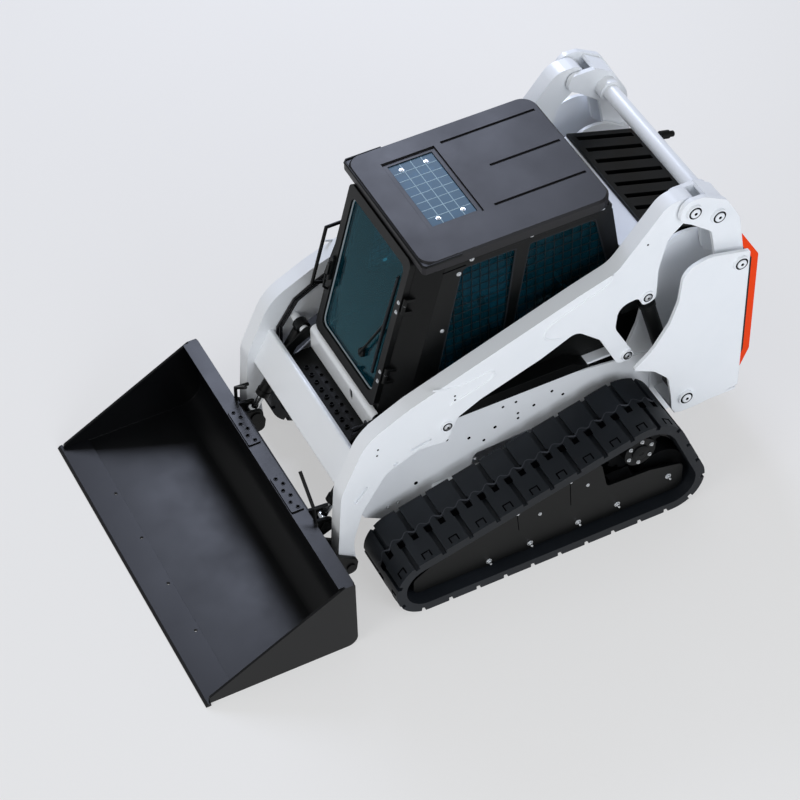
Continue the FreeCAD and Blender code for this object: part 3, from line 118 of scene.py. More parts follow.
def painted(name, colour, dirt, roughness, coat=0.0, dirt_share=0.25, grain_mm=6.0, grain=0.05,
            metallic=0.0, specular=0.5):
    """Finish with soft cloudy dust, a fine grain and edges rounded by a hair."""
    material, tree = new_material(name)
    place = add(tree, "ShaderNodeTexCoord").outputs["Object"]
    cloud = add(tree, "ShaderNodeTexNoise",
                values={"Scale": 1 / (CLOUD_MM * MM), "Detail": 5.0, "Roughness": 0.6},
                links={"Vector": place})
    share = add(tree, "ShaderNodeMapRange",
                values={"From Min": 0.45, "From Max": 0.8, "To Max": dirt_share},
                links={"Value": cloud.outputs["Fac"]})
    mix = add(tree, "ShaderNodeMix", {"data_type": "RGBA"}, links={0: share.outputs[0]})
    mix.inputs[6].default_value = linear(colour)
    mix.inputs[7].default_value = linear(dirt)
    rough = add(tree, "ShaderNodeMapRange",
                values={"From Min": 0.3, "From Max": 0.8,
                        "To Min": roughness, "To Max": roughness + 0.12},
                links={"Value": cloud.outputs["Fac"]})
    peel = add(tree, "ShaderNodeTexNoise", values={"Scale": 1 / (grain_mm * MM), "Detail": 2.0},
               links={"Vector": place})
    edge = add(tree, "ShaderNodeBevel", {"samples": 4}, {"Radius": EDGE_MM * MM})
    bump = add(tree, "ShaderNodeBump", values={"Strength": grain, "Distance": GRAIN_HEIGHT},
               links={"Height": peel.outputs["Fac"], "Normal": edge.outputs[0]})
    shader = add(tree, "ShaderNodeBsdfPrincipled",
                 values={"Metallic": metallic, "Coat Weight": coat, "Coat Roughness": 0.12,
                         "Specular IOR Level": specular},
                 links={"Base Color": mix.outputs[2], "Roughness": rough.outputs[0],
                        "Normal": bump.outputs[0]})
    finish_material(tree, shader)
    return material


# White baked enamel on steel plate: smooth, glossy, hardly any dust.
white_enamel = painted("white_enamel", "#f4f7fa", "#e2e8ec", 0.3, coat=0.3, dirt_share=0.2)
# Black baked enamel on steel: satin, with a faint dust that greys it.
black_enamel = painted("black_enamel", "#060707", "#101111", 0.36, dirt_share=0.4,
                       specular=0.2)
# Black enamel of the bucket: smooth satin that mirrors the sky as a blue grey sheen.
bucket_enamel = painted("bucket_enamel", "#08090b", "#0e0f13", 0.3, dirt_share=0.4, grain_mm=9,
                        specular=0.3)
# Orange baked enamel on steel: glossy.
orange_enamel = painted("orange_enamel", "#ff4604", "#f84204", 0.4, specular=0.1)
# Moulded ABS roof: a matt grain that the mould leaves.
moulded_abs = painted("moulded_abs", "#141317", "#1a1a1f", 0.4, dirt_share=0.5, grain_mm=3,
                      grain=0.2, specular=0.36)
# Moulded rubber: matt, a little dusty.
moulded_rubber = painted("moulded_rubber", "#14181d", "#20252c", 0.5, dirt_share=0.7, grain_mm=4,
                         grain=0.3, specular=0.3)
# Lighter rubber of the tread ridge: painted highlight along the ridge.
ridge_highlight_rubber = painted("ridge_highlight_rubber", "#2b2e35", "#3a3e46", 0.55, dirt_share=0.7, grain_mm=4, grain=0.3)
# Raw cast iron: rough sand-cast skin.
cast_iron = painted("cast_iron", "#0b0c0d", "#151617", 0.5, dirt_share=0.5, grain_mm=3, grain=0.4,
                    specular=0.2)
# Hard steel of the cutting edge, painted as the bucket is.
edge_steel = painted("edge_steel", "#0b0c10", "#14161b", 0.3, dirt_share=0.5, grain_mm=9, specular=0.32)
# Zinc plated steel of bolts and pins: bright and slightly rough.
zinc_plate = painted("zinc_plate", "#d9dcdf", "#aeb2b6", 0.3, dirt_share=0.4, grain_mm=2, metallic=1.0)
# Hard chrome on a rod: mirror smooth.
hard_chrome = painted("hard_chrome", "#dfe2e5", "#cfd3d6", 0.12, dirt_share=0.2, metallic=1.0)
# Vinyl seat cover: fine leather grain with a soft sheen.
grained_vinyl = painted("grained_vinyl", "#34383d", "#40444a", 0.5, dirt_share=0.3, grain_mm=2.5,
                        grain=0.4)
# Galvanised wire behind the skylight: pale and dull.
pale_wire = painted("pale_wire", "#9db8c6", "#8aa5b4", 0.5)
# Rubber seal round the door glass, painted pale grey as the highlight along it.
seal_highlight_grey = painted("seal_highlight_grey", "#8f9aa0", "#767f85", 0.55)
# Painted shade of holes, slots, seams, recesses and pin rings: a near black disc or strip stands in for
# the dark inside them, where no light comes back out.
painted_hollow_shade = painted("painted_hollow_shade", "#040405", "#060607", 0.9, specular=0.0)
# Red moulded plastic of the belt buckle and the release knob.
red_plastic = painted("red_plastic", "#b3282a", "#8e2022", 0.4)


def tinted_glass(name, tint, haze, haze_share, roughness=0.03, ior=1.35):
    """Toughened glass: tinted clear body, a thin haze of its own colour, and a mirror skin."""
    material, tree = new_material(name)
    clear = add(tree, "ShaderNodeBsdfTransparent", values={"Color": linear(tint)})
    body = add(tree, "ShaderNodeBsdfDiffuse", values={"Color": linear(haze)})
    inner = add(tree, "ShaderNodeMixShader", values={0: haze_share},
                links={1: clear.outputs[0], 2: body.outputs[0]})
    gloss = add(tree, "ShaderNodeBsdfGlossy", values={"Color": (1, 1, 1, 1), "Roughness": roughness})
    facing = add(tree, "ShaderNodeFresnel", values={"IOR": ior})
    shader = add(tree, "ShaderNodeMixShader",
                 links={0: facing.outputs[0], 1: inner.outputs[0], 2: gloss.outputs[0]})
    finish_material(tree, shader)
    return material


# Dark blue green safety glass of door and windows.
cab_glass = tinted_glass("cab_glass", "#a8dbe4", "#0e4654", 0.19, ior=1.1)
# Pale blue polycarbonate of the skylight.
skylight_glass = tinted_glass("skylight_glass", "#5f8fa8", "#5f8aa6", 0.45, 0.3, 1.2)

SLOT_MATERIALS = {
    "white_paint": white_enamel,
    "black_paint": black_enamel,
    "bucket_paint": bucket_enamel,
    "orange_paint": orange_enamel,
    "roof_plastic": moulded_abs,
    "track_rubber": moulded_rubber,
    "cast_iron": cast_iron,
    "steel": edge_steel,
    "rod_chrome": hard_chrome,
    "tinted_glass": cab_glass,
    "seat_vinyl": grained_vinyl,
}


def dress_nodes():
    """Gives each CAD node the finish of its slot."""
    for node in NODES.values():
        for slot in node.material_slots:
            plain = slot.material.name.split(".")[0]
            if plain in SLOT_MATERIALS:
                slot.material = SLOT_MATERIALS[plain]


dress_nodes()
NODES["roof_window"].material_slots[0].material = skylight_glass


# Forms

class Form:
    """Points and faces of one piece, in mm."""

    def __init__(self):
        self.points, self.faces = [], []

    def rings(self, rings, capped=True):
        """Skin over rings of equally many points."""
        start, count = len(self.points), len(rings[0])
        for ring in rings:
            self.points.extend(Vector(point) for point in ring)
        for step in range(len(rings) - 1):
            base = start + step * count
            for i in range(count):
                j = (i + 1) % count
                self.faces.append((base + i, base + j, base + count + j, base + count + i))
        if capped:
            last = start + (len(rings) - 1) * count
            self.faces.append(tuple(range(start + count - 1, start - 1, -1)))
            self.faces.append(tuple(range(last, last + count)))

    def plate(self, outline, place, low, high):
        """Flat outline of (u, v), which place(u, v, w) puts in space, from w low to w high."""
        self.rings([[place(u, v, w) for u, v in outline] for w in (low, high)])

    def box(self, low, high):
        outline = [(low[0], low[1]), (high[0], low[1]), (high[0], high[1]), (low[0], high[1])]
        self.plate(outline, lambda u, v, w: (u, v, w), low[2], high[2])

    def turned(self, start, axis, profile, sides=20):
        """Lathe form; rows of the profile are (distance along the axis, radius)."""
        axis = Vector(axis).normalized()
        side = axis.orthogonal().normalized()
        other = axis.cross(side)
        turns = [2 * math.pi * i / sides for i in range(sides)]
        self.rings([[Vector(start) + axis * along + (side * math.cos(t) + other * math.sin(t)) * radius
                     for t in turns] for along, radius in profile])

    def tube(self, path, radius, sides=8):
        """Round bar along a path of points."""
        path = [Vector(point) for point in path]
        rings, side = [], None
        for i, point in enumerate(path):
            along = (path[min(i + 1, len(path) - 1)] - path[max(i - 1, 0)]).normalized()
            side = along.orthogonal() if side is None else side - along * side.dot(along)
            side.normalize()
            other = along.cross(side)
            rings.append([point + (side * math.cos(t) + other * math.sin(t)) * radius
                          for t in (2 * math.pi * (k + 0.5) / sides for k in range(sides))])
        self.rings(rings)

    def bolt(self, place, axis, radius, height):
        """Washer and hexagon head with a chamfered crown."""
        self.turned(place, axis, [(-1, radius * 1.5), (height * 0.2, radius * 1.5)])
        self.turned(place, axis, [(0, radius), (height * 0.85, radius), (height, radius * 0.85)], 6)

    def hole(self, place, axis, radius, proud=0.8):
        """Disc that reads as a hole; its near black material is painted shade."""
        self.turned(place, axis, [(-1, radius), (proud, radius)], 24)

    def rim(self, place, radius, width):
        """Low round collar that stands up round a punched hole."""
        self.turned(place, UP, [(-1, radius + width), (2.5, radius + width - 1),
                                (2.5, radius), (-1, radius)])


SMOOTH_ANGLE = math.radians(38)


def mirrored(point, side):
    """The point on the machine's left for side 1, or its mirror image for side -1."""
    return side * point[0], point[1], point[2]


def make(name, form, material, body, replaced=()):
    """One object of a form; it rides its body and stands for the replaced nodes."""
    shape = bmesh.new()
    points = [shape.verts.new(point * MM) for point in form.points]
    for face in form.faces:
        shape.faces.new([points[i] for i in face])
    bmesh.ops.recalc_face_normals(shape, faces=shape.faces)
    mesh = bpy.data.meshes.new(name)
    shape.to_mesh(mesh)
    shape.free()
    mesh.shade_smooth()
    mesh.set_sharp_from_angle(angle=SMOOTH_ANGLE)
    mesh.materials.append(material)
    piece = bpy.data.objects.new(name, mesh)
    bpy.context.scene.collection.objects.link(piece)
    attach(piece, body)
    if replaced:
        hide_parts(*replaced)
    return piece


def span(outline, axis, value):
    """Lowest and highest other coordinate where the line crosses a convex outline, or None."""
    found = []
    for a, b in zip(outline, outline[1:] + outline[:1]):
        if (a[axis] - value) * (b[axis] - value) < 0:
            share = (value - a[axis]) / (b[axis] - a[axis])
            found.append(a[1 - axis] + share * (b[1 - axis] - a[1 - axis]))
    return (min(found), max(found)) if len(found) == 2 else None


def wire_mesh(form, outline, place, pitches, radius):
    """Two crossing sets of wires that fill a convex outline; place(u, v) puts a point in space."""
    for axis, pitch in enumerate(pitches):
        low = min(point[axis] for point in outline)
        high = max(point[axis] for point in outline)
        count = max(1, round((high - low) / pitch))
        for i in range(1, count):
            value = low + (high - low) * i / count
            ends = span(outline, axis, value)
            if ends:
                corners = [(value, end) if axis == 0 else (end, value) for end in ends]
                form.tube([place(u, v) for u, v in corners], radius, 6)


# Cab glass, screens and seals

SIDE_WINDOWS = [
    [(-120, 1150), (258, 1150), (340, 1845), (28, 1845)],
    [(302, 1150), (855, 1150), (887, 1500), (804, 1845), (420, 1845)],
]
PANE_X = (423, 428)
WIRE_X = 433
SEAL_X = 437
SEAL_RADIUS = 4.5
SIDE_WIRES = {"pitches": (52, 52), "radius": 2.2}
REAR_WIRES = {"pitches": (32, 32), "radius": 2}
SKYLIGHT_WIRES = {"pitches": (62, 62), "radius": 3.5}


def make_side_windows():
    """Panes, wire screens and rubber seals on both sides of the cab."""
    panes, wires, seals = Form(), Form(), Form()
    for side in BOTH_SIDES:
        for outline in SIDE_WINDOWS:
            panes.plate(outline, lambda u, v, w: (side * w, u, v), *PANE_X)
            wire_mesh(wires, outline, lambda u, v: (side * WIRE_X, u, v), **SIDE_WIRES)
            ring = [(side * SEAL_X, u, v) for u, v in outline]
            for a, b in zip(ring, ring[1:] + ring[:1]):
                seals.tube([a, b], SEAL_RADIUS)
    make("side_window_panes", panes, cab_glass, "chassis", ("side_screens",))
    make("side_window_wires", wires, black_enamel, "chassis")
    make("side_window_seals", seals, moulded_rubber, "chassis")


REAR_Y, REAR_BEND_Z = 965, 1500
REAR_LEAN = 66 / 412
REAR_WINDOW = [(-320, 1612), (320, 1612), (320, 1843), (-320, 1843)]


def rear_y(z):
    """The cab's rear face, which leans forward above its bend."""
    return REAR_Y - max(0.0, z - REAR_BEND_Z) * REAR_LEAN


def make_rear_window_wires():
    wires = Form()
    wire_mesh(wires, REAR_WINDOW, lambda u, v: (u, rear_y(v) - 8, v), **REAR_WIRES)
    make("rear_window_wires", wires, black_enamel, "chassis")


SKYLIGHT = [(-298, -13), (202, -13), (202, 235), (-298, 235)]
SKYLIGHT_TOP = 1958
SKYLIGHT_BOLTS = [(-255, 40), (-255, 182), (159, 40), (159, 182)]


def make_skylight_details():
    wires, bolts = Form(), Form()
    wire_mesh(wires, SKYLIGHT, lambda u, v: (u, v, SKYLIGHT_TOP - 2), **SKYLIGHT_WIRES)
    for x, y in SKYLIGHT_BOLTS:
        bolts.bolt((x, y, SKYLIGHT_TOP), UP, 9, 7)
    make("skylight_wires", wires, pale_wire, "chassis")
    make("skylight_bolts", bolts, zinc_plate, "chassis")


DOOR_SLOPE = 264 / 992
DOOR_FOOT = (-440, 920)
DOOR_OUT = Vector((0, -1, DOOR_SLOPE)).normalized()


def on_door(x, z, out=0.0):
    """Point over the closed door's plane, out mm in front of it."""
    return Vector((x, DOOR_FOOT[0] + (z - DOOR_FOOT[1]) * DOOR_SLOPE, z)) + DOOR_OUT * out


def rounded(low, high, radius, steps=5):
    """Outline of a rectangle with round corners."""
    corners = [
        (high[0], high[1], 0), (low[0], high[1], 90), (low[0], low[1], 180), (high[0], low[1], 270),
    ]
    outline = []
    for x, y, start in corners:
        cx = x - radius if x == high[0] else x + radius
        cy = y - radius if y == high[1] else y + radius
        for i in range(steps + 1):
            turn = math.radians(start + 90 * i / steps)
            outline.append((cx + radius * math.cos(turn), cy + radius * math.sin(turn)))
    return outline


# Places on the door are (x, z) or (x, z, out).
GLASS_CORNERS = ((-294, 1026), (294, 1846))
GLASS_ROUND, GLASS_SEAL_OUT = 40, 20
WIPER_PIVOT = (120, 1150)
WIPER_ARM = [(*WIPER_PIVOT, 40), (240, 1400, 40), (258, 1450, 32)]
WIPER_SPINE = [(254, 1130, 30), (258, 1440, 36), (264, 1750, 30)]
WIPER_LIP = [(251, 1120), (257, 1120), (267, 1760), (261, 1760)]
LATCH_HANDLE = [(-320, 1230, 35), (-320, 1250, 62), (-320, 1330, 66)]
HINGE_X, HINGE_LINE_X = 330, 364
HINGE_BOLT_ZS = (1130, 1190, 1582, 1642)
HINGE_CAP_ZS = (1190, 1642)


def make_door_details():
    """Seal, wiper, latch and hinge bolts, which swing with the door."""
    seal, wiper, blade, latch, hinge = Form(), Form(), Form(), Form(), Form()
    ring = [on_door(x, z, GLASS_SEAL_OUT) for x, z in rounded(*GLASS_CORNERS, GLASS_ROUND)]
    seal.tube(ring + ring[:2], 5)
    make("door_glass_seal", seal, seal_highlight_grey, "cab_door")
    wiper.turned(on_door(*WIPER_PIVOT, 18), DOOR_OUT, [(0, 26), (16, 26), (22, 20)])
    wiper.turned(on_door(*WIPER_PIVOT, 40), DOOR_OUT, [(-20, 10), (6, 10), (8, 7)])
    wiper.tube([on_door(*point) for point in WIPER_ARM], 7)
    blade.tube([on_door(*point) for point in WIPER_SPINE], 8)
    blade.plate(WIPER_LIP, on_door, 20, 30)
    make("door_wiper_arm", wiper, black_enamel, "cab_door")
    make("door_wiper_blade", blade, moulded_rubber, "cab_door")
    latch.plate(rounded((-338, 1300), (-302, 1440), 8), on_door, 33, 52)
    latch.plate(rounded((-330, 1330), (-310, 1410), 6), on_door, 51, 66)
    latch.tube([on_door(*point) for point in LATCH_HANDLE], 7)
    make("door_latch", latch, black_enamel, "cab_door")
    for z in HINGE_BOLT_ZS:
        hinge.bolt(on_door(HINGE_X, z, 34), DOOR_OUT, 8, 7)
    for z in HINGE_CAP_ZS:
        hinge.turned(on_door(HINGE_LINE_X, z + 2, 18), (0, DOOR_SLOPE, 1),
                     [(0, 12), (6, 12), (9, 8)])
    make("door_hinge_bolts", hinge, zinc_plate, "cab_door")


# Seat and levers

# Seat, in mm: how much smaller the block starts, its edge radius and voxels, and how far it may swell.
PAD_SHRINK, PAD_EDGE, PAD_VOXEL, PAD_SWELL = 16, 16, 6, 24
PAD_PRESSURE = 4.0
PAD_FRAMES = 20
# The swollen cushion stays this far inside its space.
PAD_CLEAR = 2


def swell(piece, low, high):
    """Fills a pad by cloth pressure, then limits each point's move and keeps it in its space."""
    start = [vert.co.copy() for vert in piece.data.vertices]
    cloth = piece.modifiers.new("fill", "CLOTH")
    cloth.settings.use_pressure = True
    cloth.settings.uniform_pressure_force = PAD_PRESSURE
    cloth.settings.effector_weights.gravity = 0.0
    scene = bpy.context.scene
    for number in range(1, PAD_FRAMES + 1):
        scene.frame_set(number)
    bpy.ops.object.modifier_apply(modifier="fill")
    scene.frame_set(1)
    for vert, home in zip(piece.data.vertices, start):
        move = vert.co - home
        if move.length > PAD_SWELL * MM:
            vert.co = home + move.normalized() * PAD_SWELL * MM
        for axis in range(3):
            least, most = (low[axis] + PAD_CLEAR) * MM, (high[axis] - PAD_CLEAR) * MM
            vert.co[axis] = min(max(vert.co[axis], least), most)


def padded_block(name, low, high):
    """Rounded block with an even mesh, swollen into a cushion."""
    shape = bmesh.new()
    bmesh.ops.create_cube(shape, size=1.0)
    size = [(b - a - PAD_SHRINK) * MM for a, b in zip(low, high)]
    middle = [(a + b) / 2 * MM for a, b in zip(low, high)]
    for vert in shape.verts:
        vert.co = Vector(m + c * s for m, c, s in zip(middle, vert.co, size))
    bmesh.ops.bevel(shape, geom=shape.edges[:], offset=PAD_EDGE * MM, segments=3, profile=0.5,
                    affect="EDGES")
    mesh = bpy.data.meshes.new(name)
    shape.to_mesh(mesh)
    shape.free()
    piece = bpy.data.objects.new(name, mesh)
    bpy.context.scene.collection.objects.link(piece)
    bpy.context.view_layer.objects.active = piece
    remesh = piece.modifiers.new("even", "REMESH")
    remesh.mode = "VOXEL"
    remesh.voxel_size = PAD_VOXEL * MM * 1
    bpy.ops.object.modifier_apply(modifier="even")
    swell(piece, low, high)
    piece.data.materials.append(grained_vinyl)
    piece.data.shade_smooth()
    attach(piece, "chassis")
    return piece


CUSHION = ((-240, 200, 1120), (240, 612, 1210))
BACKREST = ((-220, 622, 1192), (220, 720, 1700))
WELT_X = (-130, 130)
# Each welt's path in (y, z): over the cushion, and up the backrest.
WELTS = [[(220, 1209), (420, 1211), (600, 1209)], [(621, 1230), (620, 1450), (621, 1670)]]
BUCKLE_X, BUCKLE_Y, BUCKLE_Z = (236, 262), (560, 600), (1196, 1262)


def make_seat():
    """Cushion and backrest with sewn welts, and the two belt buckles beside them."""
    cushion = padded_block("seat_cushion", *CUSHION)
    padded_block("seat_backrest", *BACKREST)
    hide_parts("seat")
    welts = Form()
    for x in WELT_X:
        for path in WELTS:
            welts.tube([(x, y, z) for y, z in path], 3)
    make("seat_welts", welts, grained_vinyl, "chassis")
    buckle = Form()
    for side in BOTH_SIDES:
        low, high = zip(sorted(side * x for x in BUCKLE_X), BUCKLE_Y, BUCKLE_Z)
        buckle.box(low, high)
    make("belt_buckles", buckle, red_plastic, "chassis")


CONSOLE_X = (270, 352)
CONSOLE_CORNERS = ((180, 1010), (640, 1230))
LEVER_FOOT, LEVER_HEAD, LEVER_LEAN = (311, 230, 1228), (308, 222, 1336), (-0.1, -0.15, 1)
LEVER_STEM = [(311, 230, 1280), (308, 222, 1340)]
LEVER_BOOT = [(0, 34), (12, 30), (34, 16), (60, 11)]
LEVER_GRIP = [(0, 15), (20, 22), (70, 24), (100, 20), (110, 10)]


def make_levers():
    """Armrest consoles, each with a rubber boot, a stem and a grip."""
    consoles, levers = Form(), Form()
    for side in BOTH_SIDES:
        x0, x1 = sorted(side * x for x in CONSOLE_X)
        consoles.plate(rounded(*CONSOLE_CORNERS, 30), lambda u, v, w: (w, u, v), x0, x1)
        levers.turned(mirrored(LEVER_FOOT, side), UP, LEVER_BOOT)
        levers.tube([mirrored(point, side) for point in LEVER_STEM], 9)
        levers.turned(mirrored(LEVER_HEAD, side), mirrored(LEVER_LEAN, side), LEVER_GRIP)
    make("arm_consoles", consoles, moulded_abs, "chassis")
    make("control_levers", levers, moulded_rubber, "chassis")


make_side_windows()
make_rear_window_wires()
make_skylight_details()
make_door_details()
make_seat()
make_levers()


# Cab and roof bolts

CAB_HALF = 440
SIDE_SLOT = [(-81, 1858), (51, 1861)]
CAB_SIDE_BOLTS = [(10, 1816), (85, 1887), (431, 1900), (846, 1904)]
SIDE_HINGE_BOLTS = [(-91, 1453), (-91, 1120)]


def make_cab_bolts():
    bolts, slots = Form(), Form()
    for side in BOTH_SIDES:
        for y, z in CAB_SIDE_BOLTS:
            bolts.bolt((side * CAB_HALF, y, z), (side, 0, 0), 9, 8)
        for y, z in SIDE_HINGE_BOLTS:
            bolts.bolt((side * CAB_HALF, y, z), (side, 0, 0), 8, 8)
        # The slots are dark strips of painted shade.
        slots.tube([(side * CAB_HALF, y, z) for y, z in SIDE_SLOT], 3)
    make("cab_bolts", bolts, zinc_plate, "chassis")
    make("cab_side_slots", slots, painted_hollow_shade, "chassis")


make_cab_bolts()

ROOF_HALF, ROOF_FRONT, ROOF_Z = 460, -200, (1914, 1964)
# The roof's own corner radius, and the small cut of the corner that is added outside it.
ROOF_CORNER, ROOF_CUT, CORNER_STEPS = 90, 14, 8
# How far the corners reach into the roof, how far in the rim lies, and the y where it ends.
CORNER_OVERLAP, RIM_INSET, RIM_END = 3, 3, 20


def make_roof_rim():
    """Squares the two front corners of the roof and runs a rolled rim round its front."""
    corners, rim = Form(), Form()
    bend = ROOF_HALF - ROOF_CORNER
    for side in BOTH_SIDES:
        outline = [
            (bend, ROOF_FRONT), (ROOF_HALF - ROOF_CUT, ROOF_FRONT),
            (ROOF_HALF, ROOF_FRONT + ROOF_CUT), (ROOF_HALF, ROOF_FRONT + ROOF_CORNER),
        ]
        for i in range(CORNER_STEPS + 1):
            turn = -math.radians(90 * i / CORNER_STEPS)
            inner = ROOF_CORNER - CORNER_OVERLAP
            outline.append((bend + inner * math.cos(turn),
                            ROOF_FRONT + ROOF_CORNER + inner * math.sin(turn)))
        corners.plate(outline, lambda u, v, w: (side * u, v, w), *ROOF_Z)
    half, front, z = ROOF_HALF - RIM_INSET, ROOF_FRONT + RIM_INSET, ROOF_Z[1] - 1
    path = [(half, RIM_END), (half, front + ROOF_CUT), (half - ROOF_CUT, front),
            (ROOF_CUT - half, front), (-half, front + ROOF_CUT), (-half, RIM_END)]
    rim.tube([(x, y, z) for x, y in path], 8, 10)
    make("roof_front_corners", corners, moulded_abs, "chassis")
    make("roof_front_rim", rim, black_enamel, "chassis")


make_roof_rim()


# Running gear

ROLLER_BOLTS = [(1038, 218), (718, 156), (474, 139), (176, 127), (-77, 116)]
COVER_BOLTS = [(420, 496), (527, 415), (98, 409), (234, 336)]
COVER_SEAMS = [((413, 557), (425, 306)), ((92, 429), (106, 273))]
FRAME_FACE = 931
HUB = (915, 858, 492)
HUB_CAP = [(0, 50), (8, 50), (14, 42), (14, 16), (10, 12)]
HUB_BOLTS, HUB_BOLT_RING, HUB_BOLT_START = 6, 75, 23


def make_track_bolts():
    """Bolts of rollers, covers and hubs, with the hub caps and the seams between the covers."""
    bolts, seams, hubs = Form(), Form(), Form()
    for side in BOTH_SIDES:
        out = (side, 0, 0)
        for y, z in ROLLER_BOLTS:
            bolts.bolt((side * FRAME_FACE, y, z), out, 12, 12)
            bolts.turned((side * FRAME_FACE, y, z), out, [(0, 7), (24, 7), (27, 5)])
        for y, z in COVER_BOLTS:
            bolts.bolt((side * FRAME_FACE, y, z), out, 7, 7)
        for i in range(HUB_BOLTS):
            turn = math.radians(HUB_BOLT_START + 360 / HUB_BOLTS * i)
            y, z = HUB[1] + HUB_BOLT_RING * math.cos(turn), HUB[2] + HUB_BOLT_RING * math.sin(turn)
            bolts.bolt((side * HUB[0], y, z), out, 8, 9)
        hubs.turned(mirrored(HUB, side), out, HUB_CAP, 32)
        # The seams between the covers are dark strips of painted shade.
        for ends in COVER_SEAMS:
            seams.tube([(side * FRAME_FACE, y, z) for y, z in ends], 2)
    make("track_bolts", bolts, zinc_plate, "chassis")
    make("hub_caps", hubs, cast_iron, "chassis")
    make("track_cover_seams", seams, painted_hollow_shade, "chassis")


make_track_bolts()

LOOP_WHEELS = [(-462, 198, 198), (1040, 198, 198), (858, 492, 250)]
LUG_ROWS = 54


def loop_point(distance, runs):
    """Place and outward direction (y, z) at a distance round the track's loop."""
    for kind, length, data in runs:
        if distance <= length:
            if kind == "run":
                start, along, out = data
                return start + along * distance, out
            centre, radius, angle = data
            turn = angle + distance / radius
            out = Vector((math.cos(turn), math.sin(turn)))
            return centre + out * radius, out
        distance -= length
    return loop_point(0.0, runs)


def loop_runs():
    """Straight runs and arcs of the loop, seen with +y to the right and +z up, turning left."""
    wheels = [(Vector((y, z)), r) for y, z, r in LOOP_WHEELS]
    outs = []
    for (a, ra), (b, rb) in zip(wheels, wheels[1:] + wheels[:1]):
        gap = b - a
        lean = math.asin((ra - rb) / gap.length)
        outs.append(math.atan2(gap.y, gap.x) - math.pi / 2 + lean)
    runs = []
    for i, (a, ra) in enumerate(wheels):
        following = (i + 1) % len(wheels)
        b, rb = wheels[following]
        out = Vector((math.cos(outs[i]), math.sin(outs[i])))
        start, end = a + out * ra, b + out * rb
        runs.append(("run", (end - start).length, (start, (end - start).normalized(), out)))
        turn = (outs[following] - outs[i]) % (2 * math.pi)
        runs.append(("arc", turn * rb, (b, rb, outs[i])))
    return runs


LOOP = loop_runs()
LUG_STEP = sum(length for _, length, _ in LOOP) / LUG_ROWS
# Marks lie a hair over the lugs, and none is made where the belt lies on the ground.
MARK_SINK, MARK_PROUD = -2, 0.9
GROUND_CLEAR = 12
# Strokes of the U, as corners of (x, distance along the belt).
RECESS_STROKES = [((928, -26), (972, -19)), ((928, 19), (972, 26)), ((928, -26), (935, 26))]
POCKET = ((792, -17), (828, 17))


def mark_lug(form, number, strokes):
    """Flat marks round the middle of one lug row, on both tracks."""
    place, out = loop_point((number + 0.5) * LUG_STEP, LOOP)
    if place.y < GROUND_CLEAR:
        return
    along = Vector((-out.y, out.x))
    for side in BOTH_SIDES:
        def at(u, v, w):
            spot = place + along * v + out * w
            return side * u, spot.x, spot.y
        for low, high in strokes:
            outline = [low, (high[0], low[1]), high, (low[0], high[1])]
            form.plate(outline, at, MARK_SINK, MARK_PROUD)


def make_lug_recesses():
    """U shaped recess near the outer edge of each outer lug, drawn as a mark of painted shade."""
    marks = Form()
    for number in range(0, LUG_ROWS, 2):
        mark_lug(marks, number, RECESS_STROKES)
    make("lug_recesses", marks, painted_hollow_shade, "chassis")


RIDGE_X, RIDGE_SWING, RIDGE_SINK = 764, 13, 4.6
RIDGE_RADIUS = 5.5
# Points of the ridge in each lug row, and how low over the ground it still runs.
WAVE_POINTS = 6
RIDGE_CLEAR = 6


def ridge_path(side):
    """Wave along the belt, which begins and ends where the belt meets the ground."""
    path = []
    for i in range(LUG_ROWS * WAVE_POINTS):
        place, out = loop_point((i + 0.5) * LUG_STEP / WAVE_POINTS, LOOP)
        if place.y >= RIDGE_CLEAR:
            x = RIDGE_X + RIDGE_SWING * math.sin(2 * math.pi * i / WAVE_POINTS)
            path.append(Vector((side * x, place.x - out.x * RIDGE_SINK, place.y - out.y * RIDGE_SINK)))
    start = next(i for i in range(len(path)) if (path[i] - path[i - 1]).length > 3 * LUG_STEP)
    return path[start:] + path[:start]


def make_tread_ridges():
    """Pockets in the middle of the belt as dark marks of painted shade, and a wavy ridge beside them
    painted lighter as its highlight.
    """
    pockets, ridges = Form(), Form()
    for number in range(LUG_ROWS):
        mark_lug(pockets, number, [POCKET])
    for side in BOTH_SIDES:
        ridges.tube(ridge_path(side), RIDGE_RADIUS, 6)
    make("tread_pockets", pockets, painted_hollow_shade, "chassis")
    make("tread_ridges", ridges, ridge_highlight_rubber, "chassis")


make_lug_recesses()
make_tread_ridges()

SIDE_HOLES = [
    (-102, 682, 9), (31, 629, 10), (190, 635, 10), (330, 675, 8), (331, 635, 8), (238, 769, 8),
    (317, 769, 8), (428, 689, 9), (538, 744, 9), (607, 686, 9), (-293, 436, 12), (122, 566, 9),
]
SIDE_STUDS = [(-465, 332), (-404, 340), (-172, 347), (67, 449)]
SIDE_FACE = 500


def make_chassis_marks():
    holes, studs = Form(), Form()
    for side in BOTH_SIDES:
        # The holes are dark discs of painted shade.
        for y, z, radius in SIDE_HOLES:
            holes.hole((side * SIDE_FACE, y, z), (side, 0, 0), radius)
        for y, z in SIDE_STUDS:
            studs.bolt((side * SIDE_FACE, y, z), (side, 0, 0), 8, 10)
    make("chassis_holes", holes, painted_hollow_shade, "chassis")
    make("chassis_studs", studs, zinc_plate, "chassis")


make_chassis_marks()


# Step

STEP_TOP = 790
STEP_ROWS = (-570, -525)
STEP_HOLES, STEP_FIRST, STEP_PITCH = 9, -247, 62
STEP_FRONT_BOLTS = [(-333, -652, 720), (-27, -652, 720), (268, -652, 720)]
STEP_FRONT_OUT = (0, -1, 0.3)


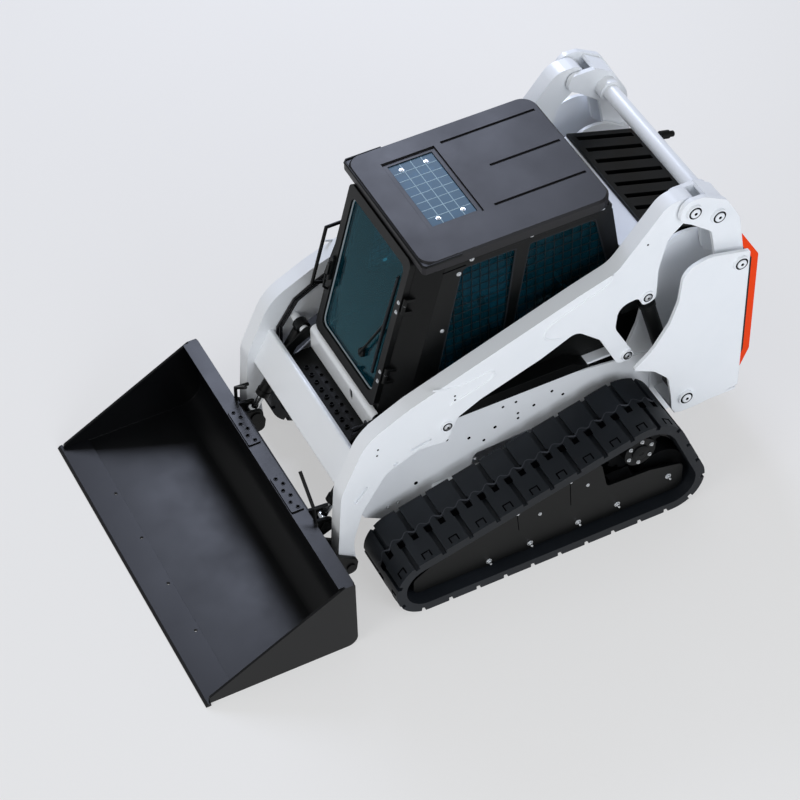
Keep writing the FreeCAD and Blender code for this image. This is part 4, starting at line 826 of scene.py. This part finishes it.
def make_step_details():
    holes, rims, bolts = Form(), Form(), Form()
    for row, y in enumerate(STEP_ROWS):
        for i in range(STEP_HOLES):
            x = STEP_FIRST + STEP_PITCH * i + STEP_PITCH / 2 * row
            # The tread holes are dark discs of painted shade.
            holes.hole((x, y, STEP_TOP), UP, 10, 1)
            rims.rim((x, y, STEP_TOP), 10, 4)
    for place in STEP_FRONT_BOLTS:
        bolts.bolt(place, STEP_FRONT_OUT, 10, 8)
    make("step_tread_holes", holes, painted_hollow_shade, "chassis")
    make("step_tread_rims", rims, black_enamel, "chassis")
    make("step_bolts", bolts, zinc_plate, "chassis")


make_step_details()


# Boom, links and bucket

ARM_FACE = 635
ARM_HOLES = [(-572, 978), (-579, 936), (1008, 1734), (-120, 1161), (-120, 1131)]
ARM_BEADS = [
    [(-250, 1264), (-114, 1218), (-8, 1230), (65, 1246), (101, 1246),
     (115, 1214), (94, 1187), (27, 1160), (-79, 1129), (-156, 1103)],
    [(805, 1611), (795, 1550), (660, 1504), (496, 1443),
     (417, 1396), (400, 1352), (421, 1316), (499, 1286)],
]


def eased(path, turns=2):
    """Polyline with its corners cut twice, so that it bends softly."""
    for _ in range(turns):
        cut = [path[0]]
        for a, b in zip(path, path[1:]):
            cut += [(0.75 * a[0] + 0.25 * b[0], 0.75 * a[1] + 0.25 * b[1]),
                    (0.25 * a[0] + 0.75 * b[0], 0.25 * a[1] + 0.75 * b[1])]
        path = cut + [path[-1]]
    return path


def pin_end(form, dark, place, side, radius):
    """Pin end with a ring of painted shade round it and a small recess in its middle, drawn as a dark
    dot of painted shade.
    """
    out = (side, 0, 0)
    ring, gap = radius * 0.82, radius * 0.62
    dark.turned(place, out, [(-1, ring), (0.8, ring), (0.8, gap), (-1, gap)], 28)
    form.turned(place, out, [(-1, radius * 0.6), (4, radius * 0.6), (6, radius * 0.52)], 28)
    dark.turned(place, out, [(0, radius * 0.2), (6.5, radius * 0.2)], 16)


# Pin ends as (x, y, z) on the boom, and (y, z) on the links and uprights.
BOOM_PIN_RADIUS, LINK_PIN_RADIUS = 34, 46
BOOM_PINS = [(647, -171, 960), (647, 915, 970), (643, 1024, 1350)]
LINK_FACE, LINK_PINS = 689, [(1250, 1892), (1402, 1800)]
UPRIGHT_FACE, UPRIGHT_PINS = 751, [(1525, 1460), (1243, 572)]
FITTING_FOOT, FITTING_AXIS = (0, 1450, 1807), (0, 1, -0.26)
FITTING = [(0, 24), (54, 24), (58, 17), (84, 17), (88, 13)]


def make_boom_details():
    """Beads, holes and pin ends of arms, links and uprights, and the fitting on the cross tube."""
    beads, holes, pins, dark = Form(), Form(), Form(), Form()
    for side in BOTH_SIDES:
        for path in ARM_BEADS:
            beads.tube([(side * ARM_FACE, y, z) for y, z in eased(path)], 7)
        # Holes and pin rings are dark marks of painted shade.
        for y, z in ARM_HOLES:
            holes.hole((side * ARM_FACE, y, z), (side, 0, 0), 6)
        for place in BOOM_PINS:
            pin_end(pins, dark, mirrored(place, side), side, BOOM_PIN_RADIUS)
    make("boom_weld_beads", beads, white_enamel, "boom")
    make("boom_holes", holes, painted_hollow_shade, "boom")
    make("boom_pin_ends", pins, zinc_plate, "boom")
    make("boom_pin_rings", dark, painted_hollow_shade, "boom")
    link_pins, link_dark = Form(), Form()
    for side in BOTH_SIDES:
        for y, z in LINK_PINS:
            pin_end(link_pins, link_dark, (side * LINK_FACE, y, z), side, LINK_PIN_RADIUS)
    make("link_pin_ends", link_pins, white_enamel, "rear_links")
    make("link_pin_rings", link_dark, painted_hollow_shade, "rear_links")
    fitting = Form()
    fitting.turned(FITTING_FOOT, FITTING_AXIS, FITTING)
    make("cross_tube_fitting", fitting, black_enamel, "rear_links")
    base_pins, base_dark = Form(), Form()
    for side in BOTH_SIDES:
        for y, z in UPRIGHT_PINS:
            pin_end(base_pins, base_dark, (side * UPRIGHT_FACE, y, z), side, LINK_PIN_RADIUS)
    make("upright_pin_ends", base_pins, white_enamel, "chassis")
    make("upright_pin_rings", base_dark, painted_hollow_shade, "chassis")


make_boom_details()

TREADS = [(-409, -125), (141, 420)]
TREAD_TOP, TREAD_Y, TREAD_SHIFT = 490, -956, 11
TREAD_HOLES = 6


def make_bucket_details():
    holes, rims = Form(), Form()
    for x0, x1 in TREADS:
        for i in range(TREAD_HOLES):
            x = x0 + (x1 - x0) * (i + 0.5) / TREAD_HOLES
            y = TREAD_Y + (TREAD_SHIFT if i % 2 else -TREAD_SHIFT)
            # The step holes are dark discs of painted shade.
            holes.hole((x, y, TREAD_TOP), UP, 9, 1)
            rims.rim((x, y, TREAD_TOP), 9, 4)
    make("bucket_step_holes", holes, painted_hollow_shade, "bucket")
    make("bucket_step_rims", rims, bucket_enamel, "bucket")


make_bucket_details()


# Floor and light

# Share of the floor that shows its own even grey to the camera, metal and glass.
# The rest of it keeps the shadow.
FLOOR_GLOW = 0.6
# Half of the floor's side, in metres.
FLOOR_HALF = 400.0


def make_stage():
    material, tree = new_material("pale_floor")
    plain = add(tree, "ShaderNodeBsdfDiffuse", values={"Color": linear("#ececec")})
    glow = add(tree, "ShaderNodeEmission", values={"Color": linear("#e9e9e9"), "Strength": 1.0})
    rays = add(tree, "ShaderNodeLightPath")
    sharp = add(tree, "ShaderNodeMath", {"operation": "MAXIMUM"},
                links={0: rays.outputs["Is Glossy Ray"], 1: rays.outputs["Is Transmission Ray"]})
    seen = add(tree, "ShaderNodeMath", {"operation": "MAXIMUM"},
               links={0: rays.outputs["Is Camera Ray"], 1: sharp.outputs[0]})
    share = add(tree, "ShaderNodeMath", {"operation": "MULTIPLY"}, {1: FLOOR_GLOW},
                {0: seen.outputs[0]})
    finish_material(tree, add(tree, "ShaderNodeMixShader",
                              links={0: share.outputs[0], 1: plain.outputs[0], 2: glow.outputs[0]}))
    mesh = bpy.data.meshes.new("floor")
    corners = [(-1, -1), (1, -1), (1, 1), (-1, 1)]
    mesh.from_pydata([(x * FLOOR_HALF, y * FLOOR_HALF, 0) for x, y in corners], [], [(0, 1, 2, 3)])
    mesh.materials.append(material)
    floor = bpy.data.objects.new("floor", mesh)
    bpy.context.scene.collection.objects.link(floor)


LAMPS = [
    # name, place (m), aims at (m), size (m), power (W), colour
    ("key", (-6.2, 2.2, 6.6), (0, -0.4, 0.4), 3.2, 430, "#dce5ff"),
    ("front", (3.0, -9.0, 5.0), (0, 0, 0.6), 5.0, 260, "#ffffff"),
    ("near_side", (9.0, 1.5, 5.0), (0, 0, 0.8), 5.0, 380, "#f2f7ff"),
]


# Level of the surroundings that light the object.
WORLD_LEVEL = 0.42


def make_lamps():
    for name, place, aim, size, power, colour in LAMPS:
        light = bpy.data.lights.new(name, "AREA")
        light.size = size
        light.energy = power
        light.color = linear(colour)[:3]
        lamp = bpy.data.objects.new(name, light)
        lamp.location = place
        lamp.rotation_euler = (Vector(aim) - Vector(place)).to_track_quat("-Z", "Y").to_euler()
        bpy.context.scene.collection.objects.link(lamp)
    world = bpy.data.worlds.new("studio")
    world.use_nodes = True
    sky = world.node_tree.nodes["Background"]
    sky.inputs["Color"].default_value = linear("#e9eaeb")
    sky.inputs["Strength"].default_value = WORLD_LEVEL
    bpy.context.scene.world = world


make_stage()
make_lamps()
bpy.context.scene.view_settings.view_transform = "Standard"
